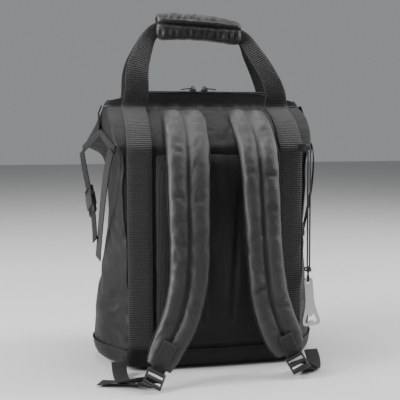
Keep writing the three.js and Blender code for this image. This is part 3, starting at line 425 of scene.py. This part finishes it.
def walked(edges):
    """Corners in order round a closed run of edges."""
    links = {}
    for edge in edges:
        a, b = edge.verts
        links.setdefault(a, []).append(b)
        links.setdefault(b, []).append(a)
    start = min(links, key=lambda v: (round(v.co.z, 5), round(v.co.x, 5), round(v.co.y, 5)))
    ring = [start, min(links[start], key=lambda v: v.index)]
    while len(ring) < len(links):
        ring.append(next(v for v in links[ring[-1]] if v not in ring[-2:]))
    return ring


def unseen_corner(edge, seen, past=()):
    """The new corner of a face beyond an edge, and not of a face that has any of the corners in `past`."""
    for face in edge.link_faces:
        new = [v for v in face.verts if v not in seen and v not in edge.verts]
        if new and not any(v in past for v in face.verts):
            return new[0]
    return None


def next_ring(mesh, ring, seen):
    """The ring beyond this one in the same order, whichever way each quad between the two is halved."""
    count = len(ring)
    apex = [unseen_corner(mesh.edges.get(pair), seen) for pair in zip(ring, ring[1:] + ring[:1])]
    if None in apex or len(set(apex)) < count / 2:
        return None
    doubled = [j for j in range(count) if apex[j - 1] is apex[j]]
    if not doubled:
        choices = (apex, apex[-1:] + apex[:-1])
        return min(choices, key=lambda found: sum((a.co - b.co).length for a, b in zip(ring, found)))
    beyond = {doubled[0]: apex[doubled[0]]}
    for step in range(1, count):
        here, after = (doubled[0] + step - 1) % count, (doubled[0] + step) % count
        beyond[after] = apex[here]
        if apex[here] is beyond[here]:
            slanted = mesh.edges.get((ring[after], beyond[here]))
            beyond[after] = unseen_corner(slanted, seen, past=(ring[here],))
    found = [beyond[j] for j in range(count)]
    return None if None in found else found


def rings_of(mesh, first, behind=()):
    rings = [first]
    seen = {*first, *behind}
    while True:
        found = next_ring(mesh, rings[-1], seen)
        if found is None:
            return rings
        rings.append(found)
        seen.update(found)


def cup_rings(mesh):
    """The rings of a cup, from round the middle of its floor outwards, up, and down again inside."""
    pole = min(mesh.verts, key=lambda v: (round(v.co.z, 6), v.co.x ** 2 + v.co.y ** 2))
    first = walked([e for f in pole.link_faces for e in f.edges if pole not in e.verts])
    return rings_of(mesh, first, behind=[pole])


def squared(mesh, rings):
    """Leaves only the edges round and along the rings, and flat ends as single faces."""
    wanted = set()
    for ring in rings:
        for a, b in zip(ring, ring[1:] + ring[:1]):
            wanted.add(frozenset((a, b)))
    for ring, beyond in zip(rings, rings[1:]):
        for a, b in zip(ring, beyond):
            wanted.add(frozenset((a, b)))
    ringed = {v for ring in rings for v in ring}
    spare = [e for e in mesh.edges if frozenset(e.verts) not in wanted and all(v in ringed for v in e.verts)]
    bmesh.ops.dissolve_edges(mesh, edges=spare, use_verts=False)


def lay_map(mesh, rings):
    """A map in metres: u along the rings' middles, v round each ring."""
    layer = mesh.loops.layers.uv.new("lay")
    middles = [sum((v.co for v in ring), Vector()) / len(ring) for ring in rings]
    run = [0.0]
    for a, b in zip(middles, middles[1:]):
        run.append(run[-1] + (b - a).length)
    spot = {}
    girth = []
    for i, ring in enumerate(rings):
        travelled = 0.0
        for j, v in enumerate(ring):
            spot[v] = (i, j, travelled)
            travelled += (ring[(j + 1) % len(ring)].co - v.co).length
        girth.append(travelled)
    last = len(rings[0]) - 1
    for face in mesh.faces:
        known = [loop for loop in face.loops if loop.vert in spot]
        wraps = any(spot[loop.vert][1] == last for loop in known) and len(face.verts) == 4
        for loop in known:
            i, j, travelled = spot[loop.vert]
            if wraps and j == 0:
                travelled = girth[i]
            loop[layer].uv = (run[i], travelled)


def square_ends(mesh, rings):
    """Keeps the rims of both ends sharp when the mesh is smoothed."""
    crease = mesh.edges.layers.float.get("crease_edge") or mesh.edges.layers.float.new("crease_edge")
    for ring in (rings[0], rings[-1]):
        for a, b in zip(ring, ring[1:] + ring[:1]):
            mesh.edges.get((a, b))[crease] = 1.0


# Straps of webbing, from flat lofts of four corners
class Band:
    """A flat strap: its rings of four corners, and where its middle runs."""

    def __init__(self, node, towards):
        self.mesh = merged(node)
        self.rings = rings_of(self.mesh, cap_ring(self.mesh, towards))
        self.stations = [[v.co.copy() for v in ring] for ring in self.rings]
        squared(self.mesh, self.rings)
        lay_map(self.mesh, self.rings)

    def keep_edges(self, amount):
        crease = self.mesh.edges.layers.float.new("crease_edge")
        for ring, beyond in zip(self.rings, self.rings[1:]):
            for a, b in zip(ring, beyond):
                edge = self.mesh.edges.get((a, b))
                if edge:
                    edge[crease] = amount
        square_ends(self.mesh, self.rings)

    def frames(self, facing):
        """Middle, across and out of each station; out is the flat side nearer to `facing`."""
        found = []
        for ring in self.stations:
            sides = [ring[(i + 1) % 4] - ring[i] for i in range(4)]
            wide = max(sides, key=lambda side: side.length)
            thin = min(sides, key=lambda side: side.length)
            out = thin.normalized()
            if out.dot(Vector(facing)) < 0:
                out = -out
            middle = sum(ring, Vector()) / 4
            found.append((middle, wide.normalized(), out, wide.length, thin.length))
        return found


def strap(name, node, towards, material, levels=2, fringe=0.97):
    band = Band(node, towards)
    band.keep_edges(fringe)
    piece = show(name, made(band.mesh, name), material, replaces=[node])
    smoothed(piece, levels)
    return band


# Shaping: folds, pinches and creases pressed into a fine mesh
def pressed(piece, folds, mottle=0.0, grain=0.03, shell=False):
    """Moves the surface in (or out, where depth is negative) along folds. A fold runs from one point to
    another, in millimetres; depth and width are in millimetres too. In a shell the inner wall follows."""
    data = piece.data
    count = len(data.vertices)
    spots = np.empty(count * 3)
    data.vertices.foreach_get("co", spots)
    spots = spots.reshape(-1, 3)
    normals = np.empty(count * 3)
    data.vertex_normals.foreach_get("vector", normals)
    normals = normals.reshape(-1, 3)
    moved = np.zeros(count)
    for row in folds:
        start, end = np.array(row["start"]) * MM, np.array(row["end"]) * MM
        run = end - start
        share = np.clip(((spots - start) @ run) / max(run @ run, 1e-12), 0, 1)
        near = start + share[:, None] * run
        away = np.linalg.norm(spots - near, axis=1) / (row["width"] * MM)
        taper = 0.25 + 0.75 * np.sin(math.pi * np.clip(share, 0.02, 0.98))
        moved -= row["depth"] * MM * np.exp(-away ** 2) * taper
        lip = np.exp(-(away - 1.7) ** 2 / 0.5)
        moved += 0.22 * row["depth"] * MM * lip * taper
    if mottle:
        waves = [mottle * MM * noise.noise(Vector(spot) / grain) for spot in spots]
        moved += np.array(waves)
    if shell:
        moved *= np.where(np.einsum("ij,ij->i", normals[:, :2], spots[:, :2]) < 0, -1.0, 1.0)
    data.vertices.foreach_set("co", (spots + normals * moved[:, None]).ravel())
    data.update()
    return piece


def fold(start, end, depth, width):
    return {"start": start, "end": end, "depth": depth, "width": width}


# Rows of stitches, each a small rounded bar that lies on the cloth
def stitch_row(mesh, line, out, pitch=3.2, long=2.2, thick=0.55):
    """Adds stitches along a line of points, lying on the side that `out` faces, in millimetres."""
    run = 0.0
    wanted = pitch / 2
    for i, (a, b) in enumerate(zip(line, line[1:])):
        step = (b - a).length / MM
        while wanted <= run + step and step > 0:
            share = (wanted - run) / step
            way = (b - a).normalized()
            up = out[i].lerp(out[min(i + 1, len(out) - 1)], share).normalized()
            side = way.cross(up).normalized()
            up = side.cross(way)
            turn = Matrix((way, side, up)).transposed().to_4x4()
            size = Matrix.Diagonal((long * MM, thick * MM, thick * MM, 1))
            spot = Matrix.Translation(a.lerp(b, share))
            bmesh.ops.create_icosphere(mesh, subdivisions=1, radius=0.5, matrix=spot @ turn @ size)
            wanted += pitch
        run += step


def edge_lines(frames, inset, side):
    """The line of a row of stitches beside a strap's edge, on its outer side."""
    line = [m + a * (side * (w / 2 - inset * MM)) + o * (t / 2) for m, a, o, w, t in frames]
    return line, [o for m, a, o, w, t in frames]


def tube(name, line, radius, material, closed=False, body=PACK):
    """Piping or cord along a line of points, as a mesh."""
    curve = bpy.data.curves.new(name, "CURVE")
    curve.dimensions = "3D"
    curve.bevel_depth = radius
    curve.bevel_resolution = 2
    curve.resolution_u = 4
    curve.use_fill_caps = not closed
    spline = curve.splines.new("BEZIER")
    spline.bezier_points.add(len(line) - 1)
    spline.use_cyclic_u = closed
    for point, place in zip(spline.bezier_points, line):
        point.co = place
        point.handle_left_type = point.handle_right_type = "AUTO"
    former = bpy.data.objects.new(name, curve)
    bpy.context.scene.collection.objects.link(former)
    bpy.context.view_layer.update()
    depsgraph = bpy.context.evaluated_depsgraph_get()
    mesh = bpy.data.meshes.new_from_object(former.evaluated_get(depsgraph))
    bpy.data.objects.remove(former)
    return show(name, mesh, material, body)


def laid(line, piece, lift, closed=False):
    """A line of points made finer and laid on a piece's surface, a little above it."""
    ends = line[1:] + line[:1] if closed else line[1:]
    fine = []
    for a, b in zip(line, ends):
        steps = max(1, round((b - a).length / (7 * MM)))
        fine += [a.lerp(b, i / steps) for i in range(steps)]
    if not closed:
        fine.append(line[-1])
    found = []
    for point in fine:
        spot, normal = piece.closest_point_on_mesh(point)[1:3]
        found.append(spot + normal * (lift * MM))
    return found


def ring_frames(stations, facing):
    """Middle, across, out, width and thickness of thick stations; out is the side nearer to `facing`."""
    found = []
    for i, ring in enumerate(stations):
        middle = sum(ring, Vector()) / len(ring)
        before = sum(stations[max(i - 1, 0)], Vector()) / len(ring)
        after = sum(stations[min(i + 1, len(stations) - 1)], Vector()) / len(ring)
        way = (after - before).normalized()
        left = max(ring, key=lambda p: (p - middle).length)
        right = max(ring, key=lambda p: (p - left).length)
        across = (right - left)
        across = (across - way * across.dot(way)).normalized()
        out = way.cross(across)
        if out.dot(Vector(facing)) < 0:
            out, across = -out, -across
        spread = [(p - middle).dot(across) for p in ring]
        height = [(p - middle).dot(out) for p in ring]
        centre = middle + across * ((max(spread) + min(spread)) / 2) + out * ((max(height) + min(height)) / 2)
        found.append((centre, across, out, max(spread) - min(spread), max(height) - min(height)))
    return found


# The bag. Slouch creases in its gussets and faces, as start, end, depth and width in millimetres.
SLOUCH_FOLDS = (
    fold((-150, -92, 206), (-182, 5, 238), 8.0, 9),
    fold((-150, -92, 186), (-182, -15, 165), 6.5, 8),
    fold((-150, -92, 116), (-184, -10, 92), 8.0, 10),
    fold((-146, -92, 92), (-112, -102, 74), 2.5, 7),
    fold((-150, -90, 200), (-118, -101, 214), 2.5, 7),
    fold((-152, -70, 300), (-160, 40, 276), 6.0, 11),
    fold((150, -92, 220), (178, -5, 250), 7.0, 9),
    fold((150, -92, 206), (180, 5, 182), 6.5, 9),
    fold((150, -92, 84), (182, -5, 66), 7.0, 9),
    fold((152, -60, 300), (160, 50, 270), 4.0, 12),
    fold((-146, 92, 190), (-60, 103, 222), 6.0, 11),
    fold((-146, 92, 180), (-70, 103, 150), 3.0, 10),
    fold((146, 92, 104), (50, 103, 130), 6.0, 12),
    fold((146, 92, 96), (70, 103, 66), 3.0, 10),
    fold((-40, 104, 300), (60, 104, 268), 2.5, 14),
    fold((-176, -20, 120), (-172, 70, 150), 4.0, 11),
    fold((176, 10, 120), (168, 80, 160), 4.0, 11),
)
# Gathers under the mouth seam on the strap side: where each begins, and how far it leans on its way down
GATHERS = (
    {"x": -80, "lean": -9}, {"x": -48, "lean": -4}, {"x": -8, "lean": -6},
    {"x": 22, "lean": 0}, {"x": 53, "lean": -8}, {"x": 80, "lean": -4},
)
GATHER_GAP = 14
# Rings of the shell, counted from the middle of its floor outwards and up
FIRST_WALL_RING = 3
SHOULDER_RING = 11
SEAM_RING = 16
HEM_RING = 18


def make_bag():
    mesh = merged("bag_shell")
    rings = cup_rings(mesh)
    sections = [[v.co.copy() for v in ring] for ring in rings]
    squared(mesh, rings)
    lay_map(mesh, rings)
    piece = show("bag_body", made(mesh, "bag_body"), BODY_CLOTH, replaces=["bag_shell"])
    smoothed(piece, 3)
    folds = list(SLOUCH_FOLDS)
    for i, x in enumerate(range(-112, 113, 28)):
        lean = 5 * math.sin(2.4 * i)
        folds.append(fold((x, 17, 398), (x + lean, 66, 364), 3.2, 6.5))
    for row in GATHERS:
        x = row["x"]
        folds.append(fold((x, -18, 401), (x + row["lean"], -37, 385), -5.5, 5.5))
        folds.append(fold((x + GATHER_GAP, -18, 401), (x + GATHER_GAP, -50, 372), 3.5, 6.0))
    return pressed(piece, folds, mottle=1.3, grain=0.032, shell=True), sections


def make_bag_seams(bag, sections):
    """Piping round the mouth seam and down the four corners."""
    seam = laid(sections[SEAM_RING], bag, 0.3, closed=True)
    tube("mouth_seam", seam, 0.9 * MM, THREAD, closed=True)
    hem = laid(sections[HEM_RING], bag, 0.1, closed=True)
    tube("mouth_hem", hem, 0.9 * MM, BINDING, closed=True)
    for name, x, y in (
        ("back_left", -1, -1), ("back_right", 1, -1), ("front_left", -1, 1), ("front_right", 1, 1),
    ):
        rings = sections[FIRST_WALL_RING:SHOULDER_RING]
        line = [max(ring, key=lambda p: p.x * x * 0.9 + p.y * y * 1.1) for ring in rings]
        tube(f"corner_piping_{name}", laid(line, bag, 0.3), 1.4 * MM, BINDING)


make_bag_seams(*make_bag())


def make_base():
    mesh = merged("base_panel")
    rings = cup_rings(mesh)
    squared(mesh, rings)
    rim = [v.co.copy() for v in rings[2]]
    piece = show("base_tray", made(mesh, "base_tray"), BASE_CLOTH, replaces=["base_panel"])
    smoothed(piece, 2)
    tube("base_seam", laid(rim, piece, 0.2, closed=True), 1.2 * MM, BINDING, closed=True)


make_base()


def quadded(node):
    mesh = merged(node)
    bmesh.ops.join_triangles(
        mesh, faces=mesh.faces,
        angle_face_threshold=math.radians(60), angle_shape_threshold=math.radians(180),
    )
    return mesh


def make_pad():
    mesh = made(quadded("back_pad"), "back_padding")
    piece = show("back_padding", mesh, BACK_MESH, replaces=["back_pad"])
    smoothed(piece, 3)
    low, high = (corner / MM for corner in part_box("back_pad"))
    # Long creases on both sides of the spine, short ones across, and two places where the padding is full
    folds = [
        fold((-30, low.y + 2, high.z - 30), (-22, low.y, low.z + 40), 2.6, 4),
        fold((30, low.y + 2, high.z - 30), (22, low.y, low.z + 40), 2.6, 4),
    ]
    for i, z in enumerate(range(70, 320, 24)):
        for side in (-1, 1):
            lean = 9 * math.sin(1.7 * i + side)
            folds.append(fold((side * 34, low.y + 2, z), (side * 86, low.y + 6, z + lean), 1.8, 5))
    folds.append(fold((46, low.y, 96), (30, low.y, 236), -7.0, 26))
    folds.append(fold((-4, low.y, 262), (-2, low.y, 338), -5.0, 12))
    pressed(piece, folds, mottle=0.9, grain=0.03)


make_pad()


# Shoulder straps
def spread_evenly(frames, step):
    """Frames a step apart along the line that the given frames follow."""
    found = [frames[0]]
    left = step
    for a, b in zip(frames, frames[1:]):
        length = (b[0] - a[0]).length
        while left <= length:
            share = left / length
            found.append(tuple(p * (1 - share) + q * share for p, q in zip(a, b)))
            left += step
        left -= length
    return found


# Deep creases where a strap bends. at: share of the strap's length from the top; lane: -1 the left lane as
# the photograph shows it, 1 the right lane; depth and skew in millimetres.
CREASES = {
    "left": (
        {"at": 0.26, "lane": -1, "depth": 2.6, "skew": 4},
        {"at": 0.42, "lane": -1, "depth": 3.6, "skew": 5},
        {"at": 0.43, "lane": 1, "depth": 3.4, "skew": -3},
        {"at": 0.57, "lane": -1, "depth": 2.8, "skew": 6},
        {"at": 0.85, "lane": -1, "depth": 2.6, "skew": -6},
        {"at": 0.80, "lane": 1, "depth": 2.0, "skew": 5},
    ),
    "right": (
        {"at": 0.35, "lane": -1, "depth": 3.4, "skew": -2},
        {"at": 0.36, "lane": 1, "depth": 3.6, "skew": 3},
        {"at": 0.48, "lane": 1, "depth": 3.0, "skew": 5},
        {"at": 0.58, "lane": -1, "depth": 2.2, "skew": -5},
        {"at": 0.76, "lane": -1, "depth": 2.8, "skew": -6},
        {"at": 0.84, "lane": 1, "depth": 2.0, "skew": 6},
    ),
}


# Rows of stitches from a strap's middle line, as shares of its width
LANE_SEAM = 0.045
EDGE_SEAM = 0.485


def lane_fold(frame, lane, reach, skew, depth, width):
    """A crease across one of a strap's two padded lanes."""
    middle, across, out, wide, thick = frame
    slant = across.cross(out) * (skew * MM)
    spot = middle + across * (lane * 0.25 * wide) + out * (0.5 * thick)
    half = across * (reach * wide)
    return fold((spot - half - slant) / MM, (spot + half + slant) / MM, depth, width)


def sewn_down(piece, frames, reach=20, left=0.16, tuck=10):
    """Flattens a padded strap's top towards its underside, where it is sewn to the bag, and draws it down
    from the seam; reach and tuck in millimetres, left as a share of the thickness."""
    middle, across, out, wide, thick = frames[0]
    way = (frames[2][0] - middle).normalized()
    for vertex in piece.data.vertices:
        offset = vertex.co - middle
        share = min(max(offset.dot(way) / (reach * MM), 0), 1)
        if share < 1 and abs(offset.dot(across)) < wide and abs(offset.dot(out)) < 2 * thick:
            height = offset.dot(out) + thick / 2
            kept = left + (1 - left) * math.sin(share * math.pi / 2)
            vertex.co -= out * (height * (1 - kept))
        drawn = min(max(offset.dot(way) / (3 * tuck * MM), 0), 1)
        vertex.co += way * (tuck * MM * (1 - drawn))


def make_shoulder_strap(side):
    node = f"shoulder_strap_{side}"
    mesh = merged(node)
    rings = rings_of(mesh, cap_ring(mesh, (0, 0.2, 1), corners=18))
    squared(mesh, rings)
    lay_map(mesh, rings)
    square_ends(mesh, rings)
    stations = [[v.co.copy() for v in ring] for ring in rings]
    piece = show(f"padded_strap_{side}", made(mesh, node), STRAP_CLOTH, replaces=[node])
    smoothed(piece, 3)
    frames = ring_frames(stations, (0, -1, 0.2))
    line = spread_evenly(frames, 4 * MM)
    rightwards = math.copysign(1, line[0][1].x)
    folds = []
    for row in CREASES[side]:
        spot = line[round(row["at"] * (len(line) - 1))]
        folds.append(lane_fold(spot, row["lane"] * rightwards, 0.21, row["skew"], row["depth"], 3.8))
    for i, frame in enumerate(line[4:-4:5]):
        for lane in (-1, 1):
            skew = 5 * math.sin(3.7 * i + 1.9 * lane)
            depth = 0.6 + 0.5 * math.sin(2.3 * i + 2.2 * lane)
            folds.append(lane_fold(frame, lane, 0.15, skew, depth, 4.5))
    pressed(piece, folds, mottle=1.0, grain=0.024)
    sewn_down(piece, frames)
    frames = frames[1:]
    stitches = bmesh.new()
    for place in (-LANE_SEAM, LANE_SEAM):
        seam = [m + a * (place * w) + o * (0.06 * t) for m, a, o, w, t in frames]
        stitch_row(stitches, seam, [o for m, a, o, w, t in frames], pitch=4.2, long=2.8, thick=0.7)
    for place in (-EDGE_SEAM, EDGE_SEAM):
        seam = [m + a * (place * w) + o * (-0.24 * t) for m, a, o, w, t in frames]
        facing = [(a * math.copysign(1, place)) for m, a, o, w, t in frames]
        stitch_row(stitches, seam, facing, pitch=4.2, long=2.8, thick=0.6)
    show(f"strap_stitches_{side}", made(stitches, "strap_stitches"), THREAD)
    for name, place in (("inner", -0.5), ("outer", 0.5)):
        edge = [m + a * (place * w) - o * (0.36 * t) for m, a, o, w, t in frames]
        tube(f"strap_edge_{name}_{side}", edge, 1.1 * MM, BINDING)


for side in ("left", "right"):
    make_shoulder_strap(side)


# Carrying webbing and grip
def sew_edges(name, band, facing, inset=2.4, pitch=3.4):
    """A row of stitches along both edges of a strap, on the side that shows."""
    stitches = bmesh.new()
    frames = band.frames(facing)
    for side in (-1, 1):
        line, out = edge_lines(frames, inset, side)
        stitch_row(stitches, line, out, pitch=pitch)
    show(name, made(stitches, name), THREAD)


for name, facing in (("back", (0, -1, 0)), ("front", (0, 1, 0))):
    band = strap(f"carry_webbing_{name}", f"handle_webbing_{name}", (-0.2, 0, -1), CARRY_WEBBING)
    sew_edges(f"carry_stitches_{name}", band, facing)


# Height of the grip's middle at its left end and its drop to the right, and how far its ends are rounded
GRIP_MIDDLE = 532.5
GRIP_DROP = 7
END_ROUNDING = 11
END_SHARE = 0.62


def round_ends(piece, low, high):
    """Draws a sewn roll in towards its middle line near both ends."""
    for vertex in piece.data.vertices:
        end = min(vertex.co.x - low.x, high.x - vertex.co.x) / (END_ROUNDING * MM)
        if end < 1:
            along = (vertex.co.x - low.x) / (high.x - low.x)
            middle = Vector((vertex.co.x, 0, (GRIP_MIDDLE - GRIP_DROP * along) * MM))
            kept = END_SHARE + (1 - END_SHARE) * math.sqrt(max(1 - (1 - max(end, 0)) ** 2, 0))
            vertex.co = middle + (vertex.co - middle) * kept


def make_grip():
    mesh = made(quadded("grip_wrap"), "grip")
    piece = show("grip_padding", mesh, GRIP_CLOTH, replaces=["grip_wrap"])
    smoothed(piece, 4)
    round_ends(piece, *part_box("grip_wrap"))
    # The slit between the two rolls of the wrap, and the puckers on both sides of it
    folds = [fold((-78, side * 16, 534), (62, side * 16, 527), 7.5, 3.6) for side in (-1, 1)]
    for i, x in enumerate(range(-70, 58, 11)):
        lean = 3 * math.sin(2.9 * i)
        for side in (-1, 1):
            folds.append(fold((x, side * 13, 543), (x + lean, side * 9, 553), 1.9, 2.8))
            folds.append(fold((x, side * 13, 524), (x - lean, side * 11, 510), 2.1, 3.0))
    pressed(piece, folds, mottle=0.9, grain=0.012)


make_grip()


# Lower ends of the straps and side straps
for side in ("left", "right"):
    for node, towards in (
        (f"strap_tab_{side}", (0, -0.4, 1)),
        (f"adjuster_webbing_{side}", (0, 0.2, 1)),
        (f"adjuster_tail_{side}", (0, -1, 0.5)),
        (f"side_strap_back_{side}", (0, -0.3, 1)),
        (f"side_strap_front_{side}", (0, 0.5, 1)),
        (f"side_strap_lower_{side}", (0, 0.5, 1)),
    ):
        material = SIDE_WEBBING if node.startswith("side_strap") else SMALL_WEBBING
        band = strap(f"sewn_{node}", node, towards, material)
        if node.startswith(("strap_tab", "adjuster_webbing")):
            sew_edges(f"stitches_{node}", band, (0, -1, 0.6), inset=2.0, pitch=3.0)


# Hard pieces, with their edges eased
def eased(name, node, material, body=PACK, width=0.4, segments=2):
    mesh = merged(node)
    bmesh.ops.dissolve_limit(mesh, angle_limit=math.radians(1), verts=mesh.verts, edges=mesh.edges)
    piece = show(name, made(mesh, name), material, body, replaces=[node])
    modifier = piece.modifiers.new("edges", "BEVEL")
    modifier.width = width * MM
    modifier.segments = segments
    modifier.limit_method = "ANGLE"
    modifier.angle_limit = math.radians(32)
    modifier.harden_normals = True
    return piece


for side in ("left", "right"):
    eased(f"lock_{side}", f"ladder_lock_{side}", PLASTIC, width=0.8, segments=3)
    eased(f"plug_{side}", f"side_buckle_plug_{side}", PLASTIC, width=0.7)
    eased(f"socket_{side}", f"side_buckle_socket_{side}", PLASTIC, width=0.7)
    eased(f"slider_{side}", f"zip_slider_{side}", METAL, width=0.35)
    eased(f"pull_{side}", f"zip_pull_{side}", METAL, body=f"pull_{side}", width=0.3)
    # The dark gusset binding is partly a real binding and partly a dark piece that stands for the shade under
    # the overhanging side panels.
    eased(f"binding_{side}", f"gusset_binding_{side}", BINDING, width=0.4)

eased("anchor", "cord_anchor", BINDING, width=1.2, segments=3)
eased("zip_tape", "mouth_zip", BINDING, width=0.2)


TOOTH_PITCH = 1.6 * MM


def make_zip_coil():
    """The closed coil along the top of the zip: a tooth from each side in turn."""
    low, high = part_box("mouth_zip")
    teeth = bmesh.new()
    middle = (low.y + high.y) / 2
    count = int((high.x - low.x) / TOOTH_PITCH)
    for i in range(2, count - 1):
        spot = Vector((low.x + i * TOOTH_PITCH, middle + (0.5 if i % 2 else -0.5) * MM, high.z))
        size = Matrix.Diagonal((0.9 * MM, 2.2 * MM, 0.9 * MM, 1))
        bmesh.ops.create_icosphere(teeth, subdivisions=1, radius=0.5, matrix=Matrix.Translation(spot) @ size)
    show("zip_coil", made(teeth, "zip_coil"), PLASTIC)


make_zip_coil()


def make_knot():
    """The cord's own knot, tied round both strands."""
    low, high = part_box("cord_knot")
    centre = (low + high) / 2
    scale = 1.8 * MM
    steps = 36
    line = []
    for i in range(steps):
        t = 2 * math.pi * i / steps
        x = math.sin(t) + 2 * math.sin(2 * t)
        y = math.cos(t) - 2 * math.cos(2 * t)
        line.append(centre + Vector((x, y, -1.6 * math.sin(3 * t))) * scale)
    piece = tube("knot", line, CORD_DIAMETER / 2, CORD, closed=True)
    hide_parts("cord_knot")
    return piece


knot = make_knot()


def make_opener():
    """The opener stays the CAD plate, with its edges eased in place."""
    opener = nodes["bottle_opener"]
    opener.data.materials.clear()
    opener.data.materials.append(STEEL)
    opener.modifiers.new("join", "WELD").merge_threshold = 0.02 * MM
    edges = opener.modifiers.new("edges", "BEVEL")
    edges.width = 0.55 * MM
    edges.segments = 3
    edges.limit_method = "ANGLE"
    edges.angle_limit = math.radians(40)
    return opener


opener = make_opener()


# Opener cord
cord_line = [CORD_EXIT + Vector(place) * MM for place in CORD_ROUTE]


def make_cord():
    curve = bpy.data.curves.new("opener_cord_line", "CURVE")
    curve.dimensions = "3D"
    curve.bevel_depth = CORD_DIAMETER / 2
    curve.bevel_resolution = 4
    curve.resolution_u = 8
    curve.use_fill_caps = True
    spline = curve.splines.new("BEZIER")
    spline.bezier_points.add(len(cord_line) - 1)
    for point, place in zip(spline.bezier_points, cord_line):
        point.co = place
        point.handle_left_type = point.handle_right_type = "AUTO"
    cord = bpy.data.objects.new("cord", curve)
    bpy.context.scene.collection.objects.link(cord)
    curve.materials.append(CORD)
    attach(cord, PACK)
    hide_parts("opener_cord")
    return cord


cord = make_cord()


# Floor and light
FLOOR_SIZE = 6
SKY_STRENGTH = 0.36
LIGHTS = (
    {"name": "key", "place": (-2.0, -0.35, 1.2), "target": (0, 0, 0.25), "size": (0.9, 1.3), "power": 115},
    {"name": "rim", "place": (1.9, -0.1, 1.2), "target": (0, 0, 0.25), "size": (0.6, 1.4), "power": 60},
    {"name": "top", "place": (0.1, 0.2, 2.0), "target": (0, 0, 0.2), "size": (1.4, 0.8), "power": 40},
)


def make_stage():
    mesh = bmesh.new()
    bmesh.ops.create_grid(mesh, x_segments=1, y_segments=1, size=FLOOR_SIZE)
    floor = bpy.data.objects.new("floor", made(mesh, "floor"))
    bpy.context.scene.collection.objects.link(floor)
    finish = Finish("floor", Base_Color=(0.50, 0.50, 0.49, 1), Roughness=0.7)
    floor.data.materials.append(finish.material)
    world = bpy.data.worlds.new("studio")
    world.use_nodes = True
    world.node_tree.nodes["Background"].inputs[0].default_value = (0.75, 0.77, 0.80, 1)
    world.node_tree.nodes["Background"].inputs[1].default_value = SKY_STRENGTH
    bpy.context.scene.world = world


def make_light(name, place, target, size, power):
    data = bpy.data.lights.new(name, "AREA")
    data.shape = "RECTANGLE"
    data.size, data.size_y = size
    data.energy = power
    light = bpy.data.objects.new(name, data)
    bpy.context.scene.collection.objects.link(light)
    light.location = place
    light.rotation_euler = (Vector(target) - light.location).to_track_quat("-Z", "Y").to_euler()


make_stage()
for light in LIGHTS:
    make_light(**light)
